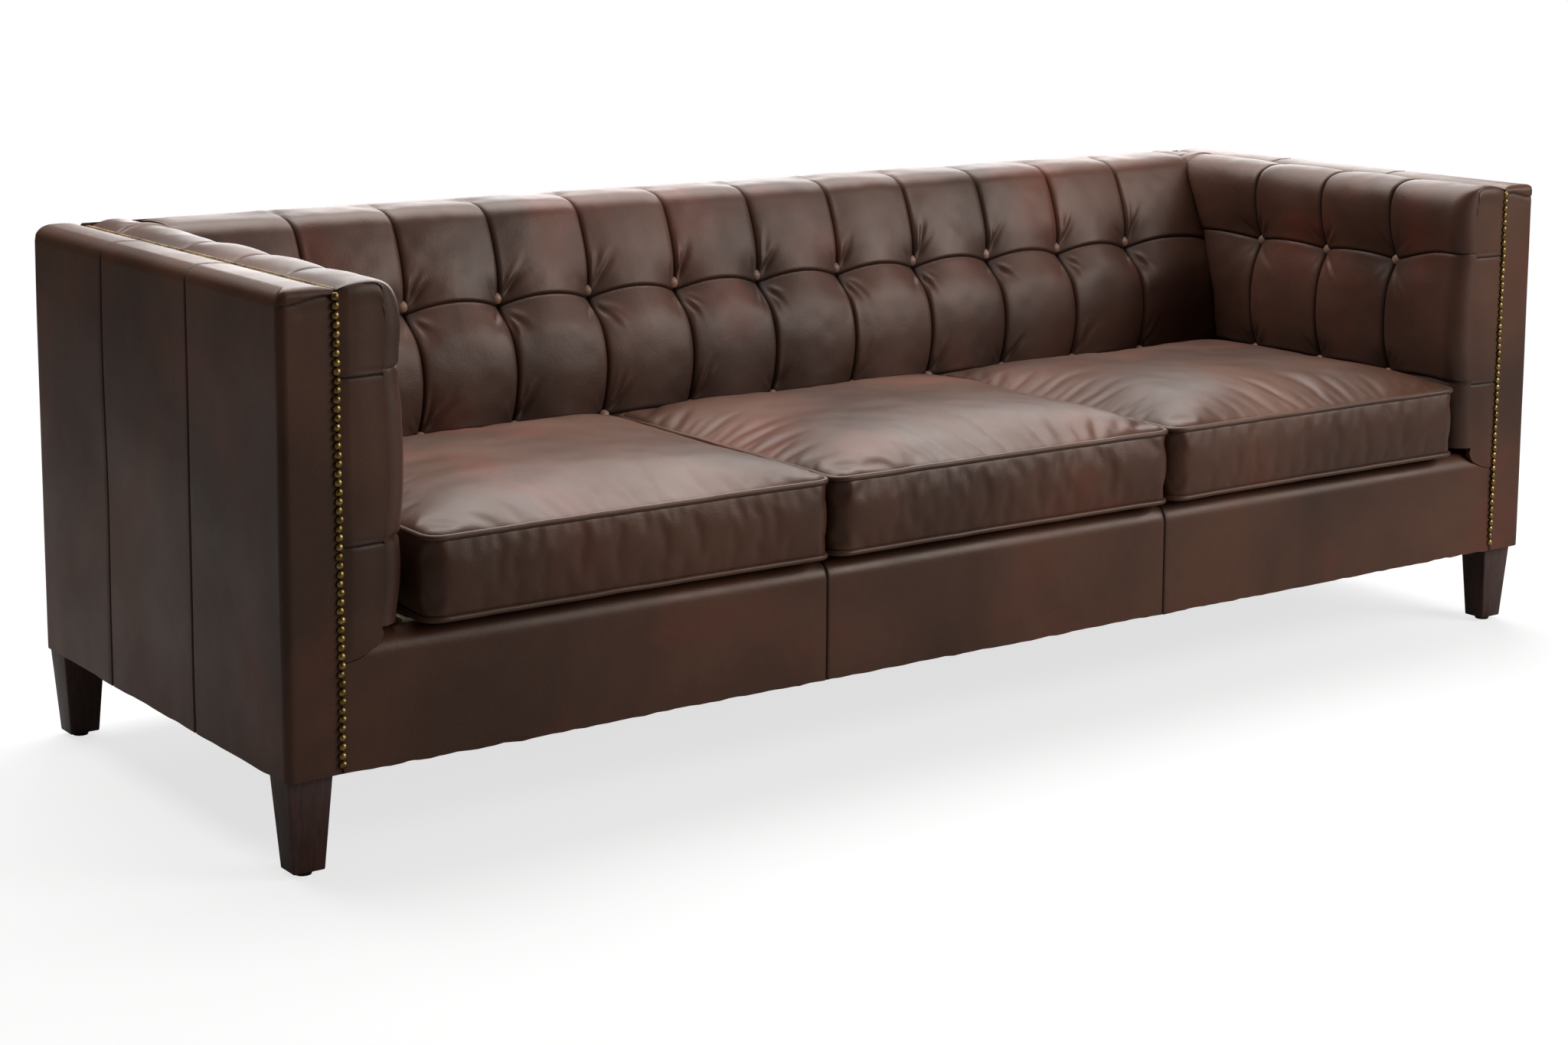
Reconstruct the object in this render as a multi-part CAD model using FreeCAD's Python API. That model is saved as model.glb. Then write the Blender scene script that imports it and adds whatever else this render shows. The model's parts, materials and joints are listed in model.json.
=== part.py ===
"""Three-seat tuxedo chesterfield sofa in buttoned leather, with three loose seat cushions.

Millimetres, +Z up. The origin is on the floor under the centre of the overall box.
+X runs along the sofa's length, and the front faces -Y.
"""

import FreeCAD
import Part
import math
import os

V = FreeCAD.Vector

# Overall size
length = 2200.0
body_depth = 765.0
cushion_overhang = 19.0
top_z = 714.0
frame_bottom_z = 125.5
soft_gap = 0.3

# Outside covers: leather with its wadding
cover_thickness = 8.0
front_corner_radius = 12.0
rear_corner_radius = 28.0
top_edge_radius = 14.0
trim_width = 10.0
trim_thickness = 1.2
arm_panel_seams = (-116.0, 143.0)
rail_seam_x = 307.0
lower_seam_z = 402.0
upper_seam_drop = 109.0

# Nail rows, set in the joint between the outer and the inner front covers
nail_inset = 73.0
joint_gap = 2.0
nail_pitch = 11.05
nail_head = 9.6
nail_dome = 3.0
nail_shank = 1.6
nail_length = 14.0
first_nail_z = 139.0
head_sides = 6

# Hardwood frame
board = 28.0
arm_frame_width = 98.0
seat_frame_top_z = 270.0
back_rail_depth = 66.0
tack_rail_bottom_z = 300.0
tack_rail_height = 60.0
upright_width = 44.0
cross_rail_width = 40.0
block_leg = 84.0
block_height = 40.0

# Webbing, foam, seat deck and dust cover
web_width = 50.0
web_thickness = 1.5
web_pitch = 96.0
fold_length = 16.0
slab_thickness = 9.5
deck_thickness = 22.0
dust_thickness = 1.0
roll_radius = 27.0
roll_drop = 5.0

# Padding of the inside arms over their foam: at the foot, low, lower row, middle, upper row, high, top
arm_pleat_padding = (42.0, 44.0, 35.0, 50.0, 27.0, 45.0, 40.0)
arm_crown_padding = (50.0, 59.4, 59.0, 65.5, 57.0, 63.0, 51.0)
arm_front_padding = (49.0, 56.4, 58.0, 64.4, 60.0, 62.0, 51.0)
arm_corner_padding = (44.0, 43.4, 44.0, 43.4, 44.0, 42.8, 43.0)
arm_tuft_shares = (0.2833, 0.5610, 0.8387)
arm_upper_row_drop = 126.0

# Padding of the inside back over its foam: at the foot, lower row, middle, upper row, high, top
back_pleat_padding = (122.0, 113.0, 103.0, 66.0, 48.0, 20.0)
back_crown_padding = (131.0, 129.0, 128.0, 92.0, 72.0, 28.0)
back_corner_clearance = 8.0
tuft_pitch = 153.9
upper_row_drop = 135.0
lower_row_z = 397.0
pleat_dip = -2.0
crown_rise = 4.0
shoulder_rise_share = 0.7
top_rise_share = 1.3
front_rise_share = 0.25
first_swell_share = 0.4
end_column_share = 0.6
pad_bottom_z = 300.0

# Inner front of the arm, where it curves down to meet the rail's roll
facing_bulge = (560.0, 64.5)
facing_waist = (350.0, 54.0)
facing_knee = (306.0, 43.0)
facing_sweep = (277.0, 17.0)
facing_foot_z = 262.0

# How finely the padding's swellings are faceted: share across a column with the fullness there, and chords
swell_steps = ((0.25, 0.75), (0.5, 1.0), (0.75, 0.75), (1.0, 0.0))
swell_chords = 4
flatness = 1e-3

# Covered buttons
button_diameter = 17.5
button_height = 7.0
button_standoff = 9.5
twine_diameter = 1.6
twine_clearance = 1.3
button_sides = 8
back_lean_deg = 14.5

# Loose seat cushions
cushion_count = 3
cushion_gap = 1.0
cushion_side_clearance = 6.0
cushion_back_clearance = 10.0
boxing_height = 110.0
crown_height = 27.0
piping_diameter = 8.0
piping_sides = 6
corner_radius = 28.0
corner_chords = 3
draw_in = 3.0
seam_draw = 1.5
cover_wall = 9.0
crown_rings = ((0.0, 0.0), (0.16, 0.55), (0.42, 0.87), (0.66, 1.0))

# Tapered legs, glides and their fixings
leg_top = (60.0, 50.0)
leg_foot = (42.0, 36.0)
leg_inset = (6.5, 13.0)
leg_corner_cut = 2.5
glide_height = 6.0
glide_radius = 12.0
glide_taper = 0.875
glide_sides = 16
fixing_sides = 12
bolt_radius = 4.0
bolt_clearance = 0.1
bolt_in_leg = 32.0
tee_flange_radius = 11.0
tee_flange = 1.5
tee_barrel_radius = 5.2
tee_barrel = 11.0

# Worked out from the sizes above
arc_middle = 1 - math.sqrt(0.5)
overall_depth = body_depth + cushion_overhang
front_y = -overall_depth / 2 + cushion_overhang
back_y = overall_depth / 2
half = length / 2
wood_inset = cover_thickness + soft_gap
upright_x = 3.5 * web_pitch
wood_top_z = top_z - wood_inset
facing_seams = (lower_seam_z, top_z - upper_seam_drop)
arm_upper_row_z = top_z - arm_upper_row_drop
upper_row_z = top_z - upper_row_drop
post_front_y = front_y + wood_inset
post_back_y = back_y - wood_inset
inner_edge = nail_inset + joint_gap / 2
outer_edge = nail_inset - joint_gap / 2
arm_wood_x = half - arm_frame_width
pad_u = arm_frame_width + slab_thickness + 2 * soft_gap
rail_face_y = post_back_y - back_rail_depth
web_y = rail_face_y - web_thickness
pad_v = back_y - web_y + slab_thickness + 2 * soft_gap
pad_end_v = top_edge_radius + cover_thickness
arm_top_thickness = pad_u + arm_crown_padding[-1]
arm_corner_thickness = pad_u + max(arm_corner_padding)
seat_x = half - pad_u - max(arm_crown_padding) - soft_gap
leg_height = frame_bottom_z - glide_height
deck_bottom_z = seat_frame_top_z + 2 * web_thickness
deck_z = deck_bottom_z + deck_thickness
back_foot_y = back_y - pad_v - max(back_crown_padding)
cushion_back_y = back_foot_y - cushion_back_clearance
seat_width = 2 * (seat_x - cushion_side_clearance)
cushion_width = (seat_width - (cushion_count - 1) * cushion_gap) / cushion_count
arm_corner_y = back_foot_y - back_corner_clearance
arm_pleat_y = [front_y + share * (arm_corner_y - front_y) for share in arm_tuft_shares]
back_end_x = half - arm_corner_thickness - soft_gap
tufts_each_side = int(back_end_x / tuft_pitch - end_column_share)
tuft_x = [i * tuft_pitch for i in range(-tufts_each_side, tufts_each_side + 1)]


def box(x0, x1, y0, y1, z0, z1):
    corner = V(min(x0, x1), min(y0, y1), min(z0, z1))
    return Part.makeBox(abs(x1 - x0), abs(y1 - y0), abs(z1 - z0), corner)


def arc(a, b, c):
    return Part.Arc(a, b, c).toShape()


def line(a, b):
    return Part.LineSegment(a, b).toShape()


def chords(a, b, c, count):
    """Points along the arc from a through b to c, without c."""
    return Part.Arc(a, b, c).toShape().discretize(count + 1)[:-1]


def flat_face(points):
    return Part.Face(Part.makePolygon([*points, points[0]]))


def faceted_loft(rings, closed=False):
    """Loft through matching rings of points, in flat faces. A closed one runs on into its first ring."""
    faces = [] if closed else [flat_face(rings[0]), flat_face(rings[-1])]
    for lower, upper in zip(rings, [*rings[1:], rings[0]] if closed else rings[1:]):
        for a, b, c, d in zip(lower, [*lower[1:], lower[0]], [*upper[1:], upper[0]], upper):
            twist = (b - a).cross(d - a).dot(c - a)
            if abs(twist) < flatness * (b - a).Length * (d - a).Length:
                faces.append(flat_face([a, b, c, d]))
            else:
                faces += [flat_face([a, b, c]), flat_face([a, c, d])]
    shell = Part.makeShell(faces)
    shell.sewShape()
    solid = Part.makeSolid(shell)
    return solid if solid.Volume > 0 else solid.reversed()


def dome(centre, normal, diameter, height, sides, crown=0.55):
    """A low faceted dome standing on a plane."""
    turn = FreeCAD.Rotation(V(0, 0, 1), normal)
    rings = []
    for share, level in ((1.0, 0.0), (crown, height)):
        radius = diameter / 2 * share
        angles = [2 * math.pi * i / sides for i in range(sides)]
        points = [V(radius * math.cos(a), radius * math.sin(a), level) for a in angles]
        rings.append([centre + turn.multVec(point) for point in points])
    return faceted_loft(rings)


def prism(x, y, z, radius, height):
    """Upright bar or hole with flats, its radius measured to them."""
    reach = radius / math.cos(math.pi / fixing_sides)
    return dome(V(x, y, z), V(0, 0, 1), 2 * reach, height, fixing_sides, 1)


def mirrored(shape):
    return shape.mirror(V(0, 0, 0), V(1, 0, 0))


def joined(shapes):
    whole = shapes[0].multiFuse(shapes[1:])
    return whole.removeSplitter()


def save(name, shapes):
    shape = shapes if isinstance(shapes, Part.Shape) else Part.makeCompound(shapes)
    if not shape.isValid():
        raise ValueError(name + " is not a valid solid")
    shape.exportStep("parts/" + name + ".step")
    print(name, len(shape.Solids), round(shape.Volume / 1000))
    return shape


def save_pair(name, shape):
    """The same piece on the left and, mirrored, on the right."""
    save("left_" + name, shape)
    save("right_" + name, mirrored(shape))


def rounded(shape, radius, test):
    """The shape with the edges that pass the test rounded."""
    edges = [e for e in shape.Edges if test(e.valueAt(e.FirstParameter), e.valueAt(e.LastParameter))]
    return shape.makeFillet(radius, edges)


# Body envelope: the block that the covers wrap, shrunk by an inset


def envelope(inset, bottom_z):
    x, y0, y1, top = half - inset, front_y + inset, back_y - inset, top_z - inset
    block = box(-x, x, y0, y1, bottom_z, top)
    near = soft_gap / 10
    for y, radius in ((y0, front_corner_radius), (y1, rear_corner_radius)):
        block = rounded(block, radius - inset,
                        lambda a, b: max(abs(a.y - y), abs(b.y - y), abs(a.x - b.x)) < near)
    return rounded(block, top_edge_radius - inset, lambda a, b: max(abs(a.z - top), abs(b.z - top)) < near)


def outside_covers():
    """Shells cut along their seams: three panels on each arm and three across the back."""
    shell = envelope(0, frame_bottom_z).cut(envelope(cover_thickness, frame_bottom_z - cover_thickness))
    seams = (front_y, *arm_panel_seams, back_y)
    arm = [
        shell.common(box(-half, -half + outer_edge, y0, y1, frame_bottom_z, top_z))
        for y0, y1 in zip(seams, seams[1:])
    ]
    save_pair("outer_arm_cover", Part.makeCompound(arm))
    back = []
    ends = half - outer_edge
    for x0, x1 in ((-ends, -rail_seam_x), (-rail_seam_x, rail_seam_x), (rail_seam_x, ends)):
        back.append(shell.common(box(x0, x1, back_y - pad_end_v, back_y, frame_bottom_z, top_z)))
    save("outer_back_cover", back)


# Hardwood frame


def wooden_frame():
    room = envelope(wood_inset, frame_bottom_z)
    x_out, x_in = -half + wood_inset, -arm_wood_x
    inner_y0, inner_y1 = post_front_y + board, post_back_y - board
    save_pair("front_post", room.common(box(x_out, x_in, post_front_y, inner_y0, frame_bottom_z, wood_top_z)))
    save_pair("rear_post", room.common(box(x_out, x_in, inner_y1, post_back_y, frame_bottom_z, wood_top_z)))
    top = box(x_out, x_in, inner_y0, inner_y1, wood_top_z - board, wood_top_z)
    save_pair("arm_top_rail", room.common(top))
    tack_top = tack_rail_bottom_z + tack_rail_height
    save_pair("arm_tack_rail", box(x_in - board, x_in, inner_y0, inner_y1, tack_rail_bottom_z, tack_top))
    side = box(x_out, x_out + board, inner_y0, inner_y1, frame_bottom_z, seat_frame_top_z)
    save_pair("seat_side_rail", side)
    save("front_seat_rail", box(x_in, -x_in, post_front_y, inner_y0, frame_bottom_z, seat_frame_top_z))
    save("rear_seat_rail", box(x_in, -x_in, inner_y1, post_back_y, frame_bottom_z, seat_frame_top_z))
    cross = [
        box(x - cross_rail_width / 2, x + cross_rail_width / 2, inner_y0, inner_y1,
            frame_bottom_z, seat_frame_top_z - board)
        for x in (-upright_x, upright_x)
    ]
    save("seat_cross_rails", cross)
    back_top = box(x_in, -x_in, rail_face_y, post_back_y, wood_top_z - board, wood_top_z)
    save("back_top_rail", room.common(back_top))
    save("back_tack_rail", box(x_in, -x_in, rail_face_y, inner_y1, tack_rail_bottom_z, tack_top))
    uprights = [
        box(x - upright_width / 2, x + upright_width / 2, inner_y1, post_back_y,
            seat_frame_top_z, wood_top_z - board)
        for x in (-upright_x, upright_x)
    ]
    save("back_uprights", uprights)
    return x_out + board, inner_y0, inner_y1


def leg_places():
    """Centre of each leg's top, and the way in from its corner."""
    x = half - leg_inset[0] - leg_top[0] / 2
    y0 = front_y + leg_inset[1] + leg_top[1] / 2
    y1 = back_y - leg_inset[1] - leg_top[1] / 2
    return {
        "front_left": (-x, y0, 1, 1),
        "front_right": (x, y0, -1, 1),
        "rear_left": (-x, y1, 1, -1),
        "rear_right": (x, y1, -1, -1),
    }


def bolt_place(place):
    """The bolt stands inside the corner of the frame, nearer the leg's inner corner."""
    x, y, in_x, in_y = place
    return x + in_x * leg_top[0] / 4, y + in_y * leg_top[1] / 4


def corner_blocks(side_x, inner_y0, inner_y1):
    """Three-sided glue blocks, bored for the tee nuts."""
    blocks = []
    for place in leg_places().values():
        x, y, in_x, in_y = place
        corner = V(-in_x * abs(side_x), inner_y0 if in_y > 0 else inner_y1, frame_bottom_z)
        across = corner + V(in_x * block_leg, 0, 0)
        along = corner + V(0, in_y * block_leg, 0)
        outline = Part.makePolygon([corner, across, along, corner])
        block = Part.Face(outline).extrude(V(0, 0, block_height))
        bx, by = bolt_place(place)
        hole = prism(bx, by, frame_bottom_z, tee_barrel_radius + bolt_clearance, block_height)
        blocks.append(block.cut(hole))
    save("corner_blocks", blocks)


# Webbing, foam, deck and dust cover


def strips(start, end, pitch, width):
    """Centres of evenly spaced strips between two limits."""
    count = int((end - start - width) // pitch) + 1
    first = (start + end - (count - 1) * pitch) / 2
    return [first + i * pitch for i in range(count)]


def webbing(side_x, inner_y0, inner_y1):
    """Seat strips both ways, the crosswise ones with folded ends, and upright strips in the back."""
    z = seat_frame_top_z
    w = web_width / 2
    long_strips = [
        box(side_x - fold_length, -side_x + fold_length, y - w, y + w, z, z + web_thickness)
        for y in strips(inner_y0, inner_y1, web_pitch, web_width)
    ]
    save("seat_webbing_lengthwise", long_strips)
    cross_strips = []
    for x in strips(-arm_wood_x, arm_wood_x, web_pitch, web_width):
        y0, y1 = inner_y0 - fold_length, inner_y1 + fold_length
        strip = box(x - w, x + w, y0, y1, z + web_thickness, deck_bottom_z)
        front_fold = box(x - w, x + w, y0, inner_y0, z, z + web_thickness)
        rear_fold = box(x - w, x + w, inner_y1, y1, z, z + web_thickness)
        cross_strips.append(joined([strip, front_fold, rear_fold]))
    save("seat_webbing_crosswise", cross_strips)
    back_strips = [
        box(x - w, x + w, web_y, rail_face_y, tack_rail_bottom_z, wood_top_z)
        for x in strips(-arm_wood_x, arm_wood_x, web_pitch, web_width)
    ]
    save("back_webbing", back_strips)


def foam_slabs():
    slab_y1 = web_y - soft_gap
    slab_y0 = slab_y1 - slab_thickness
    save("back_foam", box(-back_end_x, back_end_x, slab_y0, slab_y1, pad_bottom_z, wood_top_z))
    x0 = -arm_wood_x + soft_gap
    slab = box(x0, x0 + slab_thickness, post_front_y, slab_y1, pad_bottom_z, wood_top_z)
    save_pair("arm_foam", slab)


def seat_deck():
    """Felt platform that the cushions rest on, between the front roll and the inside back."""
    y0 = front_y + roll_radius + cover_thickness
    save("seat_deck", box(-seat_x, seat_x, y0, web_y - soft_gap, deck_bottom_z, deck_z))


def dust_cover():
    """Black cloth tacked under the frame, cut out round the legs."""
    x, y0, y1 = half - wood_inset, post_front_y, post_back_y
    sheet = box(-x, x, y0, y1, frame_bottom_z - dust_thickness, frame_bottom_z)
    for leg_x, leg_y, in_x, in_y in leg_places().values():
        reach_x, reach_y = leg_top[0] / 2 + dust_thickness, leg_top[1] / 2 + dust_thickness
        outer_x, outer_y = leg_x - in_x * 2 * reach_x, leg_y - in_y * 2 * reach_y
        sheet = sheet.cut(box(outer_x, leg_x + in_x * reach_x, outer_y, leg_y + in_y * reach_y, 0, top_z))
    save("dust_cover", sheet)


# Inside arms. Each outline is drawn in the plane across the arm: u in from the outer face, and z.


def swollen(pleat, crown, fullness):
    """Padding between a pleat's and a crown's."""
    return [a + (b - a) * fullness for a, b in zip(pleat, crown)]


def arm_outline(y, padding, rise):
    foot, low, lower_row, middle, upper_row, high, top = (pad_u + depth for depth in padding)
    row_0, row_1 = facing_seams[0], arm_upper_row_z
    roll = top_edge_radius

    def at(u, z):
        return V(-half + u, y, z)

    shoulder, brow = at(top, top_z - roll), at(top - roll, top_z + rise)
    joint = at(inner_edge + roll, top_z - soft_gap)
    return [
        *chords(at(foot, pad_bottom_z), at(low, (pad_bottom_z + row_0) / 2), at(lower_row, row_0), 2),
        *chords(at(lower_row, row_0), at(middle, (row_0 + row_1) / 2), at(upper_row, row_1), swell_chords),
        *chords(at(upper_row, row_1), at(high, (row_1 + top_z - roll) / 2), shoulder, swell_chords - 1),
        *chords(shoulder, at(top - arc_middle * roll, top_z - arc_middle * roll + rise * shoulder_rise_share),
                brow, 2),
        *chords(brow, at((top + inner_edge) / 2, top_z + rise * top_rise_share), joint, 2),
        joint,
        at(inner_edge, top_z - soft_gap),
        at(inner_edge, wood_top_z + soft_gap),
        at(pad_u, wood_top_z + soft_gap),
        at(pad_u, pad_bottom_z),
    ]


def arm_swell(y, fullness):
    rise = pleat_dip + (crown_rise - pleat_dip) * fullness
    return arm_outline(y, swollen(arm_pleat_padding, arm_crown_padding, fullness), rise)


def swell(pleats, section):
    """Sections across the swellings between neighbouring pleats."""
    rings = [section(pleats[0], 0)]
    for a, b in zip(pleats, pleats[1:]):
        rings += [section(a + (b - a) * share, fullness) for share, fullness in swell_steps]
    return rings


def tufted_arms():
    first, last = post_front_y, arm_pleat_y[-1]
    front = [
        arm_outline(first, arm_front_padding, crown_rise * front_rise_share),
        arm_swell(first + (arm_pleat_y[0] - first) * first_swell_share, 1),
    ]
    corner = arm_outline(arm_corner_y, arm_corner_padding, pleat_dip / 2)
    rear = [arm_swell((last + arm_corner_y) / 2, 1), corner]
    pad = faceted_loft([*front, *swell(arm_pleat_y, arm_swell), *rear])
    tail = flat_face(corner).extrude(V(0, back_y - pad_end_v - soft_gap - arm_corner_y, 0))
    tail = tail.cut(box(-half, 0, web_y - soft_gap, back_y, pad_bottom_z, wood_top_z + soft_gap))
    save_pair("tufted_arm", joined([pad, tail]))


def facing_outline(y):
    """The arm's inner front, from the nail row to its bulging inner edge, down to the rail's roll."""
    roll = top_edge_radius
    top = arm_top_thickness
    seam_u = pad_u + arm_front_padding[2]

    def at(u, z):
        return V(-half + u, y, z)

    def padded(spot):
        return at(pad_u + spot[1], spot[0])

    return Part.Wire([
        line(at(inner_edge, facing_foot_z), at(inner_edge, top_z)),
        line(at(inner_edge, top_z), at(top - roll, top_z)),
        arc(at(top - roll, top_z), at(top - arc_middle * roll, top_z - arc_middle * roll), at(top, top_z - roll)),
        arc(at(top, top_z - roll), padded(facing_bulge), at(seam_u, facing_seams[0])),
        arc(at(seam_u, facing_seams[0]), padded(facing_waist), padded(facing_knee)),
        arc(padded(facing_knee), padded(facing_sweep), at(inner_edge, facing_foot_z)),
    ])


def arm_facings():
    """Inner front of each arm, sewn from three pieces that meet at two level seams."""
    face = Part.Face(facing_outline(front_y))
    plate = face.extrude(V(0, cover_thickness, 0))
    levels = (frame_bottom_z, *facing_seams, top_z)
    pieces = [
        plate.common(box(-half, 0, front_y, post_front_y, z0, z1)) for z0, z1 in zip(levels, levels[1:])
    ]
    save_pair("arm_front_facing", Part.makeCompound(pieces))


def front_rail_cover():
    """Leather over the front rail, rolled back over its top edge to the seat deck."""
    y_in, roll_z = front_y + roll_radius + cover_thickness - soft_gap, deck_z - roll_drop
    skin_y, shelf_z = front_y + cover_thickness, deck_bottom_z + soft_gap
    mid = roll_radius * arc_middle

    def at(y, z):
        return V(-half + inner_edge, y, z)

    outline = Part.Wire([
        line(at(front_y, frame_bottom_z), at(front_y, roll_z - roll_radius)),
        arc(at(front_y, roll_z - roll_radius), at(front_y + mid, roll_z - mid),
            at(front_y + roll_radius, roll_z)),
        line(at(front_y + roll_radius, roll_z), at(y_in, roll_z)),
        line(at(y_in, roll_z), at(y_in, shelf_z)),
        line(at(y_in, shelf_z), at(skin_y, shelf_z)),
        line(at(skin_y, shelf_z), at(skin_y, frame_bottom_z)),
        line(at(skin_y, frame_bottom_z), at(front_y, frame_bottom_z)),
    ])
    reach = 2 * (half - inner_edge)
    roll = Part.Face(outline).extrude(V(reach, 0, 0))
    above_curve = Part.Face(facing_outline(front_y)).extrude(V(0, cover_thickness, 0))
    behind = box(-half, -seat_x, skin_y, back_y, seat_frame_top_z - board, top_z)
    for solid in (above_curve, mirrored(above_curve), behind, mirrored(behind)):
        roll = roll.cut(solid)
    seams = (-half, -rail_seam_x, rail_seam_x, half)
    panels = [roll.common(box(x0, x1, front_y, 0, 0, top_z)) for x0, x1 in zip(seams, seams[1:])]
    save("front_rail_cover", panels)


# Inside back. Each outline is drawn across the back: v forward from the outer back face, and z.


def back_swell(x, fullness):
    padding = swollen(back_pleat_padding, back_crown_padding, fullness)
    rise = pleat_dip + (crown_rise - pleat_dip) * fullness
    foot, lower_row, middle, upper_row, high, top = (pad_v + depth for depth in padding)
    roll = top_edge_radius
    end = pad_end_v + soft_gap

    def at(v, z):
        return V(x, back_y - v, z)

    shoulder, brow = at(top, top_z - roll), at(top - roll, top_z + rise)
    return [
        at(foot, pad_bottom_z),
        *chords(at(lower_row, lower_row_z), at(middle, (lower_row_z + upper_row_z) / 2),
                at(upper_row, upper_row_z), swell_chords),
        *chords(at(upper_row, upper_row_z), at(high, (upper_row_z + top_z - roll) / 2),
                shoulder, swell_chords - 1),
        *chords(shoulder, at(top - arc_middle * roll, top_z - arc_middle * roll + rise * shoulder_rise_share),
                brow, 2),
        brow,
        at(end, top_z - soft_gap),
        at(end, wood_top_z + soft_gap),
        at(pad_v, wood_top_z + soft_gap),
        at(pad_v, pad_bottom_z),
    ]


def tufted_back():
    pleats = [-back_end_x, *tuft_x, back_end_x]
    save("tufted_back", faceted_loft(swell(pleats, back_swell)))


# Nails and buttons


def nail_rows():
    count = int((top_z - first_nail_z) / nail_pitch)
    nails = []
    for i in range(count + 1):
        centre = V(-half + nail_inset, front_y, first_nail_z + i * nail_pitch)
        if centre.z + nail_head / 2 > top_z:
            break
        head = dome(centre, V(0, -1, 0), nail_head, nail_dome, head_sides)
        s = nail_shank / 2
        shank = box(centre.x - s, centre.x + s, front_y, front_y + nail_length, centre.z - s, centre.z + s)
        nails.append(head.fuse(shank))
    save_pair("nail_row", Part.makeCompound(nails))


def button(seat, normal):
    """Covered button on its loop, with the loop's end at the bottom of the tuft."""
    base = seat + normal * button_standoff
    stem = dome(seat + normal * twine_clearance, normal, twine_diameter, button_standoff, 4, 1)
    return dome(base, normal, button_diameter, button_height, button_sides).fuse(stem)


def buttons():
    lean = math.radians(back_lean_deg)
    up_front = V(0, -math.cos(lean), math.sin(lean))
    back = []
    for x in tuft_x:
        for depth, z in ((back_pleat_padding[3], upper_row_z), (back_pleat_padding[1], lower_row_z)):
            back.append(button(V(x, back_y - pad_v - depth, z), up_front))
    save("back_buttons", back)
    arm = []
    for y in arm_pleat_y:
        for depth, z in ((arm_pleat_padding[4], arm_upper_row_z), (arm_pleat_padding[2], facing_seams[0])):
            arm.append(button(V(-half + pad_u + depth, y, z), V(1, 0, 0)))
    save_pair("arm_buttons", Part.makeCompound(arm))


def arm_seam_trim():
    """Zigzag-stitched strip over the joint along each arm's top."""
    x = -half + nail_inset
    y1 = back_y - rear_corner_radius
    strip = box(x - trim_width / 2, x + trim_width / 2, front_y + front_corner_radius, y1, top_z,
                top_z + trim_thickness)
    save_pair("arm_top_seam_strip", strip)


# Seat cushions


def pillow_ring(inset, z):
    """Rounded outline whose sides are drawn in between the corners."""
    full_x, full_y = cushion_width / 2, (cushion_back_y + overall_depth / 2) / 2
    hx, hy = full_x - inset, full_y - inset
    cy = (cushion_back_y - overall_depth / 2) / 2
    radius = corner_radius - min(inset, corner_radius / 2)
    in_x = draw_in * (hy - radius) / (full_y - corner_radius)
    in_y = draw_in * (hx - radius) / (full_x - corner_radius)
    quarter = []
    for i in range(corner_chords + 1):
        angle = math.pi / 2 * i / corner_chords
        quarter.append((hx - radius * (1 - math.cos(angle)), hy - radius * (1 - math.sin(angle))))
    upper = [(hx - in_x, 0), *quarter, (0, hy - in_y), *((-x, y) for x, y in reversed(quarter))]
    return [V(x, cy + y, z) for x, y in [*upper, *((-x, -y) for x, y in upper)]]


def crowned(inset, z0, z1, rise):
    """Straight sides from z0 to z1 under a crown."""
    reach = cushion_width / 2
    rings = [pillow_ring(inset + reach * share, z1 + rise * lift) for share, lift in crown_rings]
    return faceted_loft([pillow_ring(inset, z0), *rings])


def cushion_pieces():
    """Cover, foam core and two piping cords of one cushion, centred on x = 0."""
    z0 = deck_z + soft_gap
    groove = piping_diameter + 2 * soft_gap
    radius = piping_diameter / 2
    seam = radius + seam_draw
    depth = radius * (1 + math.cos(math.pi / piping_sides)) + soft_gap
    low, high, top = z0 + groove, z0 + boxing_height - groove, z0 + boxing_height
    rings = [
        (depth + seam, z0), (depth, z0 + groove / 2), (depth, low), (seam, low + soft_gap),
        (radius, (low + high) / 2), (seam, high - soft_gap), (depth, high), (depth, top),
    ]
    reach = cushion_width / 2
    crown = [(seam + reach * share, top + soft_gap + crown_height * lift) for share, lift in crown_rings]
    outer = faceted_loft([pillow_ring(inset, z) for inset, z in [*rings, *crown]])
    wall = groove + cover_wall
    hollow = crowned(wall, z0 + cover_wall, z0 + boxing_height, crown_height - cover_wall)
    core = crowned(wall + soft_gap, z0 + cover_wall + soft_gap, z0 + boxing_height - soft_gap,
                   crown_height - cover_wall)
    cords = []
    for z in (z0 + groove / 2, z0 + boxing_height - groove / 2):
        turns = [2 * math.pi * (i + 0.5) / piping_sides for i in range(piping_sides)]
        around = [pillow_ring(radius + radius * math.cos(a), z + radius * math.sin(a)) for a in turns]
        cords.append(faceted_loft(around, closed=True))
    return outer.cut(hollow), core, Part.makeCompound(cords)


def seat_cushions():
    cover, core, cords = cushion_pieces()
    names = ("left", "middle", "right")[:cushion_count]
    for i, name in enumerate(names):
        shift = V((i - (cushion_count - 1) / 2) * (cushion_width + cushion_gap), 0, 0)
        for kind, shape in (("cover", cover), ("core", core), ("piping", cords)):
            copy = shape.copy()
            copy.translate(shift)
            save(name + "_cushion_" + kind, copy)


# Legs, glides and fixings


def leg_ring(x, y, size, z):
    """Level outline of a leg with its corners taken off."""
    wide, deep = size[0] / 2, size[1] / 2
    w, d = wide - leg_corner_cut, deep - leg_corner_cut
    corners = ((-w, -deep), (w, -deep), (wide, -d), (wide, d), (w, deep), (-w, deep), (-wide, d), (-wide, -d))
    return [V(x + dx, y + dy, z) for dx, dy in corners]


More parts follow.
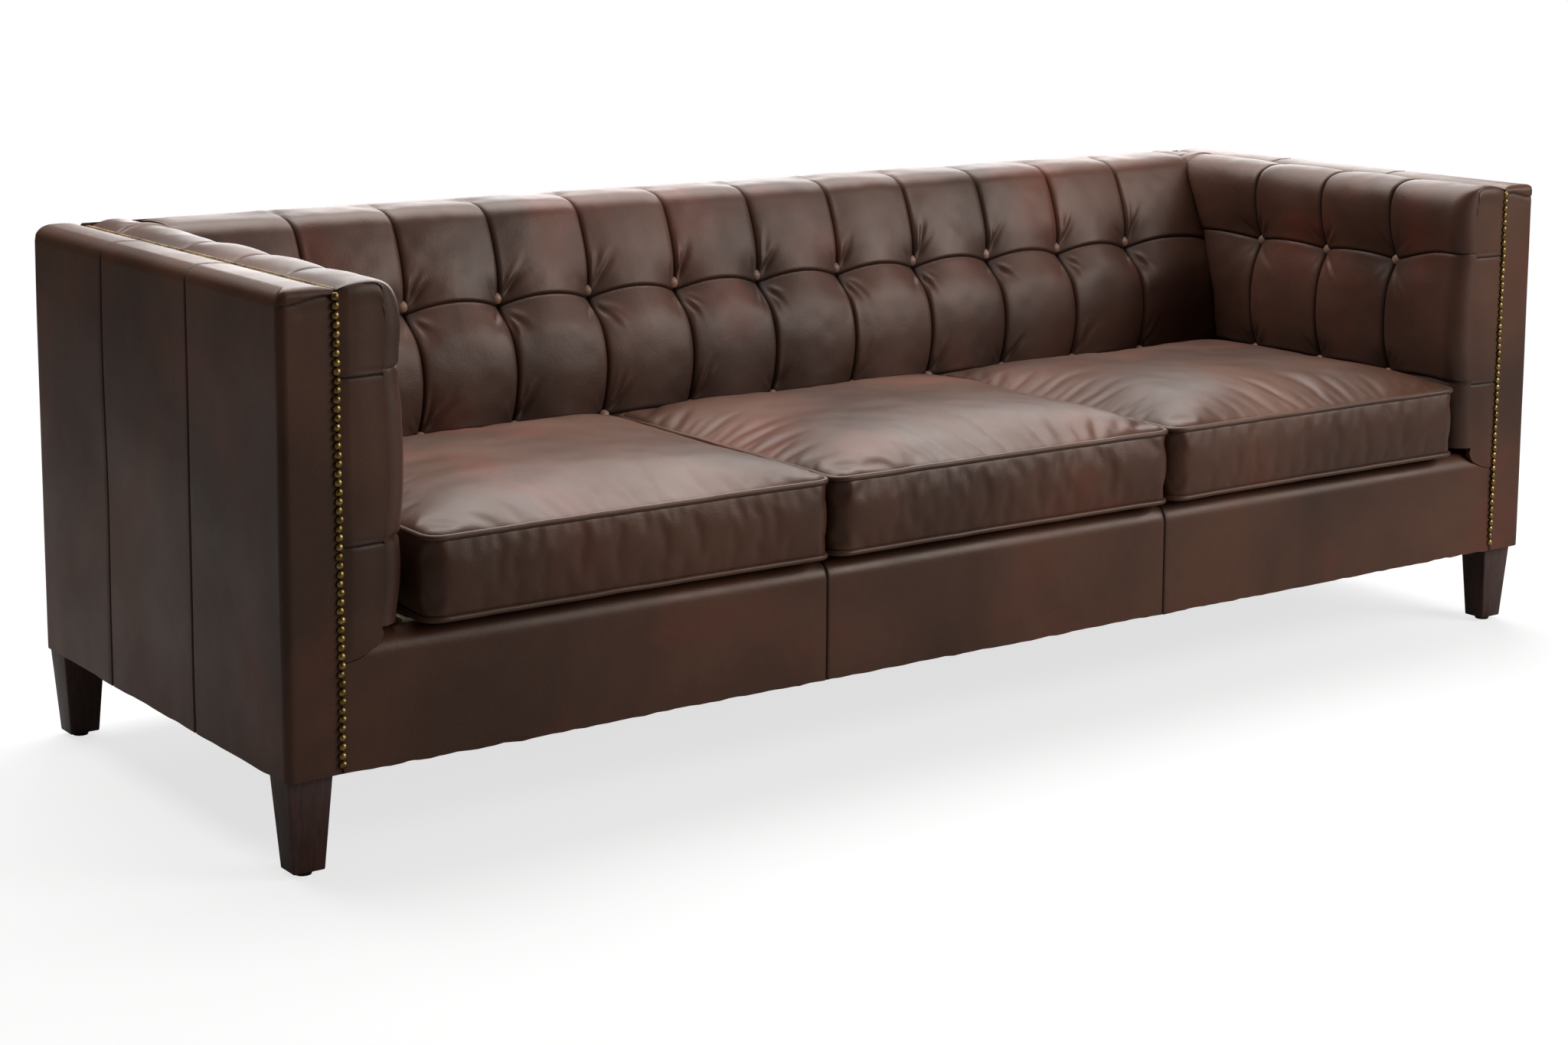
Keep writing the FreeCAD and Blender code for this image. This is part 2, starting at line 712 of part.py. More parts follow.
def legs():
    bolts, nuts, glides = [], [], []
    for name, place in leg_places().items():
        x, y, in_x, in_y = place
        leg = faceted_loft([leg_ring(x, y, leg_foot, glide_height), leg_ring(x, y, leg_top, frame_bottom_z)])
        bx, by = bolt_place(place)
        hole_z = frame_bottom_z - bolt_in_leg
        leg = leg.cut(prism(bx, by, hole_z, bolt_radius + bolt_clearance, bolt_in_leg))
        save("leg_" + name, leg)
        nut_top = frame_bottom_z + block_height + tee_flange
        bolts.append(prism(bx, by, hole_z, bolt_radius, nut_top + bolt_radius - hole_z))
        flange = prism(bx, by, nut_top - tee_flange, tee_flange_radius, tee_flange)
        barrel = prism(bx, by, nut_top - tee_flange - tee_barrel, tee_barrel_radius, tee_barrel)
        bore = prism(bx, by, frame_bottom_z, bolt_radius + bolt_clearance, block_height * 2)
        nuts.append(joined([flange, barrel]).cut(bore))
        top = V(x, y, glide_height)
        glides.append(dome(top, V(0, 0, -1), 2 * glide_radius, glide_height, glide_sides, glide_taper))
    save("leg_hanger_bolts", bolts)
    save("leg_tee_nuts", nuts)
    save("leg_glides", glides)


def main():
    os.makedirs("parts", exist_ok=True)
    outside_covers()
    inside = wooden_frame()
    corner_blocks(*inside)
    webbing(*inside)
    foam_slabs()
    seat_deck()
    dust_cover()
    tufted_arms()
    arm_facings()
    front_rail_cover()
    tufted_back()
    nail_rows()
    buttons()
    arm_seam_trim()
    seat_cushions()
    legs()


main()
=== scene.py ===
import bpy
import bmesh
import json
import math
import numpy as np
from mathutils import Matrix, Vector


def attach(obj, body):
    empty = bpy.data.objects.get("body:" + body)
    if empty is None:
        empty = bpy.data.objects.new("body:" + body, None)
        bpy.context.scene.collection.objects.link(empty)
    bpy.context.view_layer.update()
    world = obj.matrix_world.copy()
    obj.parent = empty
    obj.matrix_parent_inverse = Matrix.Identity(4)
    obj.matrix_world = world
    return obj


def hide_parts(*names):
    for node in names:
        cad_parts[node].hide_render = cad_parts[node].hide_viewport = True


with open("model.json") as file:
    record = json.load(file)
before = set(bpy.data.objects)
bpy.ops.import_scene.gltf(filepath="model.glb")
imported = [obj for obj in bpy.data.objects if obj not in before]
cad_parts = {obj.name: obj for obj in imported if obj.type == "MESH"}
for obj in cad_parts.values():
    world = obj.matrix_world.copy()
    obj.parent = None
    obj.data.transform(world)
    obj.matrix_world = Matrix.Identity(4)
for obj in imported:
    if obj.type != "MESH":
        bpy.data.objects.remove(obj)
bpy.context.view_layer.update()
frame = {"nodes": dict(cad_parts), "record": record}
scene = bpy.context.scene
print("frame loaded with", len(frame["nodes"]), "nodes")

# The sofa's main lines, in millimetres
sofa = {
    "half": 1100.0,
    "frontY": -373.0,
    "backY": 392.0,
    "topZ": 714.0,
    "hemZ": 125.5,
    "nailX": 1027.0,
    "backEndX": 947.4,
    "armEndY": 369.7,
    "nailLine": 75.0,  # from the arm's outer face to where the tufted leather starts
    "woodTopZ": 706.0,
}


# General helpers

def softNoise(x, y, size, seed):
    # smooth random hills between -1 and 1
    table = np.random.RandomState(seed).uniform(-1, 1, (64, 64))
    u, v = np.asarray(x) / size, np.asarray(y) / size
    i, j = np.floor(u).astype(int), np.floor(v).astype(int)
    fu, fv = u - i, v - j
    fu, fv = fu * fu * (3 - 2 * fu), fv * fv * (3 - 2 * fv)
    low = table[i % 64, j % 64] * (1 - fu) + table[(i + 1) % 64, j % 64] * fu
    high = table[i % 64, (j + 1) % 64] * (1 - fu) + table[(i + 1) % 64, (j + 1) % 64] * fu
    return low * (1 - fv) + high * fv


def smoothStep(x, low, high):
    t = np.clip((x - low) / (high - low), 0, 1)
    return t * t * (3 - 2 * t)


def curveThrough(points, count=600):
    # smooth line through the points, evenly spaced along its length
    p = np.array(points, float)
    p = np.vstack([2 * p[0] - p[1], p, 2 * p[-1] - p[-2]])
    pieces = []
    for a, b, c, d in zip(p, p[1:], p[2:], p[3:]):
        t = np.linspace(0, 1, 30, endpoint=False)[:, None]
        pieces.append(0.5 * (2 * b + (c - a) * t + (2 * a - 5 * b + 4 * c - d) * t ** 2
                             + (3 * b - a - 3 * c + d) * t ** 3))
    line = np.vstack([*pieces, p[-2:-1]])
    along = np.concatenate([[0], np.cumsum(np.linalg.norm(np.diff(line, axis=0), axis=1))])
    w = np.linspace(0, along[-1], count)
    even = np.stack([np.interp(w, along, line[:, k]) for k in range(p.shape[1])], -1)
    return w, even


def closeSteps(count, power=1.7):
    # 0 to 1, packed towards both ends
    t = np.linspace(0, 1, 2 * count + 1)
    half = np.abs(2 * t - 1)
    bent = 1 - np.clip(1 - half, 0, 1) ** power
    return np.where(t < 0.5, (1 - bent) / 2, (1 + bent) / 2)


def stepsThrough(marks, count):
    # places from the first mark to the last, packed towards every mark
    return np.array([marks[0]] + [v for a, b in zip(marks, marks[1:]) for v in (a + (b - a) * closeSteps(count))[1:]])


def addMesh(name, points, faces, paintedShade=None):
    # a new object from millimetre points, its faces turned outwards; the last argument holds painted shade that
    # darkens its creases
    mesh = bpy.data.meshes.new(name)
    mesh.from_pydata((np.asarray(points) * 0.001).tolist(), [], faces)
    if paintedShade is not None:
        shade = mesh.attributes.new("paintedShade", "FLOAT", "POINT")
        shade.data.foreach_set("value", np.asarray(paintedShade, np.float32).ravel())
    shell = bmesh.new()
    shell.from_mesh(mesh)
    bmesh.ops.remove_doubles(shell, verts=shell.verts, dist=1e-6)
    bmesh.ops.recalc_face_normals(shell, faces=shell.faces)
    shell.to_mesh(mesh)
    shell.free()
    obj = bpy.data.objects.new(name, mesh)
    scene.collection.objects.link(obj)
    return obj


def gridFaces(m, n, start=0, ring=False):
    i, j = np.meshgrid(np.arange(m - 1), np.arange(n if ring else n - 1), indexing="ij")
    k = (j + 1) % n
    quads = np.stack([i * n + j, i * n + k, (i + 1) * n + k, (i + 1) * n + j], -1)
    return (quads.reshape(-1, 4) + start).tolist()


def ringBody(name, rings, paintedShade=None):
    # closed body through matching rings of points
    m, n = rings.shape[:2]
    faces = gridFaces(m, n, ring=True)
    faces += [list(range(n)), list(range((m - 1) * n, m * n))]
    return addMesh(name, rings.reshape(-1, 3), faces, paintedShade)


def sheetBody(name, outer, inner, paintedShade=None):
    # closed body between two matching grids of points
    m, n = outer.shape[:2]
    faces = gridFaces(m, n) + gridFaces(m, n, m * n)
    edge = [(0, j) for j in range(n)] + [(i, n - 1) for i in range(1, m)]
    edge += [(m - 1, j) for j in range(n - 2, -1, -1)] + [(i, 0) for i in range(m - 2, 0, -1)]
    ids = [i * n + j for i, j in edge]
    for a, b in zip(ids, ids[1:] + ids[:1]):
        faces.append([a, b, b + m * n, a + m * n])
    if paintedShade is not None:
        paintedShade = np.concatenate([paintedShade.ravel(), 0 * paintedShade.ravel()])
    return addMesh(name, np.concatenate([outer.reshape(-1, 3), inner.reshape(-1, 3)]), faces, paintedShade)


def selectOnly(*pieces):
    bpy.ops.object.select_all(action="DESELECT")
    for piece in pieces:
        piece.select_set(True)
    bpy.context.view_layer.objects.active = pieces[0]


def smoothShade(obj, degrees):
    selectOnly(obj)
    if degrees >= 180:
        bpy.ops.object.shade_smooth()
    else:
        bpy.ops.object.shade_smooth_by_angle(angle=math.radians(degrees))
    obj.select_set(False)


def dress(obj, nodes, slotName, body="root", smooth=180.0, hide=None):
    smoothShade(obj, smooth)
    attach(obj, body)
    if nodes:
        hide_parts(*nodes)
    obj.data.materials.clear()
    obj.data.materials.append(hide or slotMaterials[slotName])


# Materials

def newMaterial(name):
    material = bpy.data.materials.new(name)
    material.use_nodes = True
    nodes = material.node_tree.nodes
    nodes.clear()
    return material, nodes, material.node_tree.links


def finishMaterial(nodes, links, shader):
    links.new(shader.outputs[0], addNode(nodes, "OutputMaterial").inputs["Surface"])


def addNode(nodes, kind, **values):
    node = nodes.new("ShaderNode" + kind)
    for key, value in values.items():
        if key in node.inputs:
            node.inputs[key].default_value = value
        else:
            setattr(node, key, value)
    return node


def colour(*picked):
    # a colour as it is picked on screen, 0 to 255
    return tuple(c / 255 / 12.92 if c <= 10 else ((c / 255 + 0.055) / 1.055) ** 2.4 for c in picked) + (1.0,)


def mixColour(nodes, links, factor, a, b, blend="MIX"):
    node = nodes.new("ShaderNodeMix")
    node.data_type = "RGBA"
    node.blend_type = blend
    for socket, value in ((node.inputs["Factor"], factor), (node.inputs[6], a), (node.inputs[7], b)):
        if isinstance(value, bpy.types.NodeSocket):
            links.new(value, socket)
        else:
            socket.default_value = value
    return node.outputs[2]


def ramp(nodes, links, source, stops):
    node = nodes.new("ShaderNodeValToRGB")
    links.new(source, node.inputs["Fac"])
    elements = node.color_ramp.elements
    while len(elements) < len(stops):
        elements.new(0.5)
    for element, (place, value) in zip(elements, stops):
        element.position = place
        element.color = value if isinstance(value, tuple) else (value, value, value, 1.0)
    return node.outputs["Color"]


def noise(nodes, links, place, scale, detail=3.0, rough=0.55, distortion=0.0):
    node = addNode(nodes, "TexNoise", Scale=scale, Detail=detail, Roughness=rough, Distortion=distortion)
    links.new(place, node.inputs["Vector"])
    return node.outputs["Fac"]


def leather(name, base, dark, red, shine=0.43, patchScale=3.2):
    # waxed hide: slow patches of colour, a fine pebble and small creases; painted shade from the mesh darkens its
    # creases and seams
    material, nodes, links = newMaterial(name)
    place = addNode(nodes, "TexCoord").outputs["Object"]
    patches = noise(nodes, links, place, patchScale, 3.0, 0.5, 0.4)
    tone = mixColour(nodes, links, ramp(nodes, links, patches, ((0.36, 0.0), (0.66, 1.0))), dark, base)
    redPatch = noise(nodes, links, place, patchScale * 1.9, 2.0, 0.5, 0.3)
    tone = mixColour(nodes, links, ramp(nodes, links, redPatch, ((0.56, 0.0), (0.72, 0.5))), tone, red)
    fleck = noise(nodes, links, place, 55.0, 4.0, 0.6)
    tone = mixColour(nodes, links, ramp(nodes, links, fleck, ((0.3, 0.0), (0.75, 0.22))), tone, dark)
    # painted shade: the mesh's shade attribute multiplies the colour darker in creases, seams and dimples, and dulls
    # the shine there
    crease = addNode(nodes, "Attribute", attribute_name="paintedShade").outputs["Fac"]
    tone = mixColour(nodes, links, crease, tone, (0.16, 0.13, 0.12, 1), "MULTIPLY")
    shader = addNode(nodes, "BsdfPrincipled", IOR=1.5)
    shader.inputs["Specular IOR Level"].default_value = 0.42
    shader.inputs["Specular Tint"].default_value = (1.0, 0.86, 0.76, 1)
    links.new(tone, shader.inputs["Base Color"])
    worn = noise(nodes, links, place, 7.0, 4.0, 0.6)
    dull = addNode(nodes, "Math", operation="MULTIPLY_ADD")
    dull.inputs[1].default_value = 0.3
    links.new(crease, dull.inputs[0])
    links.new(ramp(nodes, links, worn, ((0.3, shine - 0.05), (0.7, shine + 0.07))), dull.inputs[2])
    links.new(dull.outputs[0], shader.inputs["Roughness"])
    pebble = addNode(nodes, "TexVoronoi", Scale=520.0, feature="SMOOTH_F1", Smoothness=0.6)
    links.new(place, pebble.inputs["Vector"])
    fine = addNode(nodes, "Bump", Strength=0.35, Distance=0.00025, invert=True)
    links.new(pebble.outputs["Distance"], fine.inputs["Height"])
    broad = addNode(nodes, "Bump", Strength=0.22, Distance=0.0016)
    links.new(noise(nodes, links, place, 38.0, 5.0, 0.62, 0.6), broad.inputs["Height"])
    links.new(fine.outputs["Normal"], broad.inputs["Normal"])
    links.new(broad.outputs["Normal"], shader.inputs["Normal"])
    finishMaterial(nodes, links, shader)
    return material


def timber(name, light, dark, shine):
    # straight grain that runs up the piece
    material, nodes, links = newMaterial(name)
    place = addNode(nodes, "TexCoord").outputs["Object"]
    stretch = addNode(nodes, "Mapping")
    stretch.inputs["Scale"].default_value = (9.0, 9.0, 1.4)
    links.new(place, stretch.inputs["Vector"])
    bands = noise(nodes, links, stretch.outputs["Vector"], 14.0, 5.0, 0.65, 1.2)
    tone = mixColour(nodes, links, ramp(nodes, links, bands, ((0.35, 0.0), (0.68, 1.0))), light, dark)
    shader = addNode(nodes, "BsdfPrincipled", IOR=1.5)
    links.new(tone, shader.inputs["Base Color"])
    links.new(ramp(nodes, links, bands, ((0.2, shine), (0.8, shine + 0.12))), shader.inputs["Roughness"])
    grain = addNode(nodes, "Bump", Strength=0.25, Distance=0.0006)
    links.new(bands, grain.inputs["Height"])
    links.new(grain.outputs["Normal"], shader.inputs["Normal"])
    finishMaterial(nodes, links, shader)
    return material


def mottled(name, light, dark, shine, scale, metallic=0.0, bump=0.3, depth=0.0004, weave=False):
    # speckled finish for metal, foam, cloth and plastic
    material, nodes, links = newMaterial(name)
    place = addNode(nodes, "TexCoord").outputs["Object"]
    if weave:
        waves = addNode(nodes, "TexWave", Scale=scale, Distortion=0.4, bands_direction="X")
        links.new(place, waves.inputs["Vector"])
        across = addNode(nodes, "TexWave", Scale=scale, Distortion=0.4, bands_direction="Y")
        links.new(place, across.inputs["Vector"])
        pattern = mixColour(nodes, links, 0.5, waves.outputs["Color"], across.outputs["Color"])
    else:
        pattern = noise(nodes, links, place, scale, 4.0, 0.6)
    tone = mixColour(nodes, links, ramp(nodes, links, pattern, ((0.3, 0.0), (0.7, 1.0))), dark, light)
    shader = addNode(nodes, "BsdfPrincipled", Metallic=metallic)
    links.new(tone, shader.inputs["Base Color"])
    links.new(ramp(nodes, links, pattern, ((0.2, shine + 0.1), (0.8, shine))), shader.inputs["Roughness"])
    relief = addNode(nodes, "Bump", Strength=bump, Distance=depth)
    links.new(pattern, relief.inputs["Height"])
    links.new(relief.outputs["Normal"], shader.inputs["Normal"])
    finishMaterial(nodes, links, shader)
    return material


brownHide = leather("brown hide", colour(88, 55, 39), colour(58, 35, 24), colour(104, 48, 33))
tuftHide = leather("tufted hide", colour(88, 57, 45), colour(58, 36, 28), colour(102, 50, 37))
pipingHide = leather("piping hide", colour(88, 60, 46), colour(62, 41, 32), colour(98, 56, 42), 0.45)
buttonHide = leather("button hide", colour(150, 118, 100), colour(112, 86, 74), colour(168, 104, 78), 0.42, 9.0)
rawEdge = mottled("raw hide edge", colour(190, 164, 122), colour(84, 62, 42), 0.7, 34.0)
brass = mottled("antique brass", colour(176, 148, 88), colour(92, 70, 36), 0.32, 90.0, metallic=1.0, bump=0.5)
legStain = timber("stained leg wood", colour(72, 44, 35), colour(50, 28, 22), 0.38)
rawWood = timber("frame hardwood", colour(196, 160, 112), colour(164, 124, 80), 0.6)
foamFill = mottled("seat foam", colour(232, 222, 186), colour(206, 194, 154), 0.85, 160.0)
strapWeave = mottled("jute strap", colour(168, 138, 96), colour(120, 92, 58), 0.85, 240.0, weave=True)
dustWeave = mottled("black dust cloth", colour(42, 40, 40), colour(22, 21, 21), 0.9, 420.0, weave=True)
zinc = mottled("zinc plated steel", colour(190, 192, 196), colour(140, 142, 148), 0.3, 70.0, metallic=1.0)
glideNylon = mottled("glide nylon", colour(34, 32, 32), colour(20, 19, 19), 0.45, 120.0)
print("materials ready")

slotMaterials = {
    "brown_leather": brownHide,
    "piping_leather": pipingHide,
    "button_leather": buttonHide,
    "tan_edge_leather": rawEdge,
    "antique_brass": brass,
    "leg_wood": legStain,
    "frame_wood": rawWood,
    "foam": foamFill,
    "webbing": strapWeave,
    "dust_cloth": dustWeave,
    "zinc_steel": zinc,
    "glide_plastic": glideNylon,
}


# Tufted pads: upright pleats, a level pleat along each row of buttons, and dimples under the buttons

insideBack = {
    # distance in from the outer face, and height, along the middle of a column
    "profile": [(213, 300), (217, 350), (220, 397), (219, 440), (216, 488), (206, 535), (187, 580), (171, 620),
                (157, 655), (144, 686), (134, 704), (119, 714.5), (98, 718.5), (60, 719), (22.3, 714.6)],
    "pleats": [k * 153.9 for k in range(-5, 6)],
    "rowHeights": (397.0, 579.0),
    "arches": (6.0, 9.0),
    "pillow": [(300, 5), (397, 4), (488, 5), (579, 4), (640, 5), (700, 5)],
    "topPillow": 4.0,
    "rowPillow": (3.5, 4.0),
    "dimples": (9.0, 14.0),
    "dimpleReach": 33.0,
    "bow": 8.0,
    "pleatEnd": 92.0,
    # groups of folds at each button: direction and spread in degrees, how many, shortest, longest
    "fans": ((62, 15, 6, 44, 84), (118, 12, 1, 34, 50), (-58, 15, 5, 34, 62), (-84, 9, 2, 30, 56),
             (-118, 14, 2, 30, 50)),
    "foldSize": 1.0,
    "cornerDip": (3.0, 12.0),
    "behind": [(22.3, 706.3), (85.9, 706.3), (85.9, 300.0)],  # the pad's hidden rear, over the top rail
}

insideArm = {
    "profile": [(158, 300), (165, 350), (168, 402), (172, 450), (173, 495), (171.5, 540), (168, 588), (170, 630),
                (170.5, 664), (167, 688), (158, 705), (143, 714.5), (122, 718.5), (98, 716.5), (75, 708.5)],
    "pleats": [-220.0, -70.0, 80.0],
    "rowHeights": (402.0, 588.0),
    "arches": (7.0, 8.0),
    "pillow": [(300, 4), (402, 4), (495, 4.5), (588, 3.5), (640, 4.5), (700, 4)],
    "topPillow": 4.0,
    "rowPillow": (4.0, 4.5),
    "dimples": (7.0, 11.0),
    "dimpleReach": 30.0,
    "bow": 6.0,
    "pleatEnd": 88.0,
    "fans": ((60, 14, 2, 34, 60), (122, 14, 3, 36, 64), (-58, 14, 1, 30, 50), (-128, 16, 4, 40, 84)),
    "foldSize": 0.6,
    "frontRowHeight": 605.0,
    "besideBack": 152.2,
    "lip": (31.0, 3.0),  # how far the front edge turns over, and how much its top drops
    "end": 262.0,
    # where the face of the inside back meets the arm, by height
    "backFace": ((300, 397, 488, 579, 655, 704), (179, 172, 176, 208, 238, 262)),
    "tailFold": ([75, 95, 125, 150, 170], [270, 284, 292, 290, 276]),  # the fold across the tail's top
    "tailFloor": 706.6,
    "behind": [(75.0, 706.3), (108.3, 706.3), (108.3, 300.0)],
}


tufting = {
    "pillowPower": 2.6,  # how tightly a column's face curves down at its pleats
    "pleatWidth": 2.3,
    "pleatLift": 1.6,
    # pleatShade, rowShade and buttonShade set painted shade: how much the colour darkens along pleats, rows and round
    # the buttons
    "pleatShade": 0.55,
    "rowWidth": 1.9,
    "rowShare": 0.75,
    "rowLift": 2.6,
    "rowShade": 0.5,
    "buttonShade": 0.6,
    "buttonShadeReach": 26.0,
    "foldDepth": 3.8,
    "mostFold": 1.25,
    "slack": ((1.2, 70), (0.45, 24)),  # height and size of the leather's loose hills
    "fanReach": 130.0,
    "noPleat": 400.0,  # any distance too far for a pleat to show
    "columnSteps": 23,
}


def padProfile(pad):
    w, line = curveThrough(pad["profile"])
    slope = np.gradient(line, axis=0)
    slope /= np.linalg.norm(slope, axis=1)[:, None]
    normal = np.stack([slope[:, 1], -slope[:, 0]], -1)
    rowW = [float(np.interp(z, line[:400, 1], w[:400])) for z in pad["rowHeights"]]
    top = line[:, 1] > 690
    foldW = float(np.interp(-pad["pleatEnd"], -line[top, 0], w[top]))
    return w, line, normal, rowW, foldW


def fans(pad, seed, across, up, spots):
    # little folds that run out from each button, wider as they go
    rng = np.random.RandomState(seed)
    total = np.zeros_like(across)
    for sx, sw in spots:
        dx, dw = across - sx, up - sw
        r = np.hypot(dx, dw) + 1e-6
        near = r < tufting["fanReach"]
        rn, angle = r[near], np.arctan2(dw[near], dx[near])
        height = np.zeros_like(rn)
        for middle, spread, count, least, most in pad["fans"]:
            for _ in range(count):
                way = math.radians(middle + rng.uniform(-spread, spread))
                reach, size = rng.uniform(least, most), pad["foldSize"] * rng.uniform(0.8, 2.0)
                wide = rng.uniform(2.0, 3.2) + 0.045 * rn
                curl = rng.uniform(-0.12, 0.12) * (rn / reach) ** 2
                side = ((angle - way - curl + math.pi) % (2 * math.pi) - math.pi) * rn
                along = smoothStep(rn, 11, 14 + 0.3 * reach) * (1 - smoothStep(rn, 0.5 * reach, 1.15 * reach))
                ridge, groove = 0.9 * np.exp(-((side - 1.3 * wide) / wide) ** 2), 1.1 * np.exp(-(side / wide) ** 2)
                height += size * along * (ridge - groove)
        total[near] += height
    return total


def tuftedRings(pad, stations, ends, seed, rowShift=None, fullness=None, openEnd=False):
    # a grid over the pad: place across it, distance in, height, the profile's normal, and how much painted shade
    # darkens each point
    w, line, normal, rowW, foldW = padProfile(pad)
    pleats = np.array([ends[0], *pad["pleats"], ends[1]])
    s = np.asarray(stations, float)
    column = np.clip(np.searchsorted(pleats, s, side="right") - 1, 0, len(pleats) - 2)
    left, right = pleats[column], pleats[column + 1]
    half = ((right - left) / 2)[:, None]
    u = np.clip((s - left) / (right - left) * 2 - 1, -1, 1)
    rows = [rowW[k] + pad["arches"][k] * (1 - u ** 2) for k in (0, 1)]
    if rowShift is not None:
        rows = [rows[k] + rowShift(s, k) for k in (0, 1)]
    total = w[-1]
    low = np.linspace(0, 1, 12, endpoint=False)[None] ** 0.8 * rows[0][:, None]
    middle = closeSteps(tufting["columnSteps"], 1.4)[:-1][None] * (rows[1] - rows[0])[:, None] + rows[0][:, None]
    high = np.linspace(0, 1, 66)[None] ** 1.35 * (total - rows[1])[:, None] + rows[1][:, None]
    climb = np.concatenate([low, middle, high], 1)
    across = np.repeat(s[:, None], climb.shape[1], 1)
    d, z = np.interp(climb, w, line[:, 0]), np.interp(climb, w, line[:, 1])
    nd, nz = np.interp(climb, w, normal[:, 0]), np.interp(climb, w, normal[:, 1])
    fromLeft, fromRight = across - left[:, None], right[:, None] - across
    if openEnd:
        # the first and last columns have no pleat at their open ends
        fromRight += (right[:, None] == ends[1]) * tufting["noPleat"]
        fromLeft += (left[:, None] == ends[0]) * tufting["noPleat"]
    a = np.minimum(fromLeft, fromRight)
    side = np.where(fromLeft < fromRight, 1.0, -1.0)
    heights, sizes = zip(*pad["pillow"])
    pillow = np.interp(z, heights, sizes)
    onTop = smoothStep(climb, foldW - 60, foldW)
    pillow = pillow * (1 - onTop) + pad["topPillow"] * onTop * (1 - smoothStep(climb, foldW + 4, foldW + 30))
    crease = 1 - smoothStep(climb, foldW - 20, foldW + 4)
    b = [climb - rows[k][:, None] for k in (0, 1)]
    deep = pillow * np.clip(1 - a / half, 0, 1) ** tufting["pillowPower"]
    fold = crease * np.exp(-a / tufting["pleatWidth"])
    lift = crease * tufting["pleatLift"] * np.exp(-a / 8) * (1 - np.exp(-a / 1.6)) * (0.55 + 0.45 * side)
    # painted shade: the colour is darkened along the pleats, along each row of buttons and round the buttons, where
    # shade falls
    paintedShade = tufting["pleatShade"] * crease * np.exp(-a / 1.7)
    for k in (0, 1):
        near = np.abs(b[k])
        fold += tufting["rowShare"] * np.exp(-near / tufting["rowWidth"])
        deep += pad["rowPillow"][k] * np.exp(-(near / 24) ** 1.3)
        stand = np.where(b[k] > 0, 1.0, 0.15)  # the leather above a row stands proud of that below
        lift += tufting["rowLift"] * np.exp(-near / 9) * (1 - np.exp(-near / 1.6)) * stand
        reach = np.hypot(a * 0.95, b[k])
        dimple = np.exp(-(reach / pad["dimpleReach"]) ** 1.4)
        deep += pad["dimples"][k] * dimple
        paintedShade += tufting["rowShade"] * np.exp(-near / 1.7)
        paintedShade += tufting["buttonShade"] * np.exp(-(reach / tufting["buttonShadeReach"]) ** 1.5)
    deep += tufting["foldDepth"] * np.minimum(fold, tufting["mostFold"])
    folds = fans(pad, seed, across, climb, [(p, r) for p in pad["pleats"] for r in rowW])
    keep = smoothStep(a, 1.0, 7) * smoothStep(np.abs(b[0]), 1.0, 6) * smoothStep(np.abs(b[1]), 1.0, 6)
    slack = sum(h * softNoise(across, climb, size, seed + k) for k, (h, size) in enumerate(tufting["slack"], 1))
    settle = smoothStep(climb, 0, 30) * (1 - smoothStep(climb, total - 40, total))
    puff = lift - deep + (folds * keep + slack * smoothStep(a, 0, 14)) * settle
    if fullness is not None:
        puff = puff - fullness(across, climb)
    t = np.clip((climb - rows[0][:, None]) / (rows[1] - rows[0])[:, None], 0, 1)
    up = np.clip((climb - rows[1][:, None]) / (foldW - rows[1][:, None]), 0, 1)
    window = smoothStep(across, ends[0], ends[0] + 120) * (1 - smoothStep(across, ends[1] - 120, ends[1]))
    across = across + pad["bow"] * window * (np.sin(math.pi * t) ** 1.2 + 0.6 * np.sin(math.pi * up))
    return across, d + nd * puff, z + nz * puff, nd, nz, np.clip(paintedShade, 0, 1)


def padStations(pad, ends):
    pleats = [ends[0], *pad["pleats"], ends[1]]
    stations = []
    for a, b in zip(pleats, pleats[1:]):
        stations.extend((a + (b - a) * closeSteps(tufting["columnSteps"], 1.35)[:-1]).tolist())
    return stations + [ends[1]]


def buildInsideBack():
    ends = (-sofa["backEndX"], sofa["backEndX"])
    stations = padStations(insideBack, ends)

    def cornerDip(across, climb):
        gap = sofa["backEndX"] - np.abs(across)
        depth, reach = insideBack["cornerDip"]
        return depth * np.exp(-(gap / reach) ** 1.2)

    across, d, z, nd, nz, paintedShade = tuftedRings(insideBack, stations, ends, 11, fullness=cornerDip, openEnd=True)
    across = np.clip(across, -sofa["backEndX"], sofa["backEndX"])
    face = np.stack([across, sofa["backY"] - d, z], -1)
    back = np.array([[[s, sofa["backY"] - v, h] for v, h in insideBack["behind"]] for s in stations])
    obj = ringBody("insideBack", np.concatenate([face, back], 1), np.pad(paintedShade, ((0, 0), (0, 3))))
    dress(obj, ["tufted_back"], "brown_leather", smooth=70, hide=tuftHide)


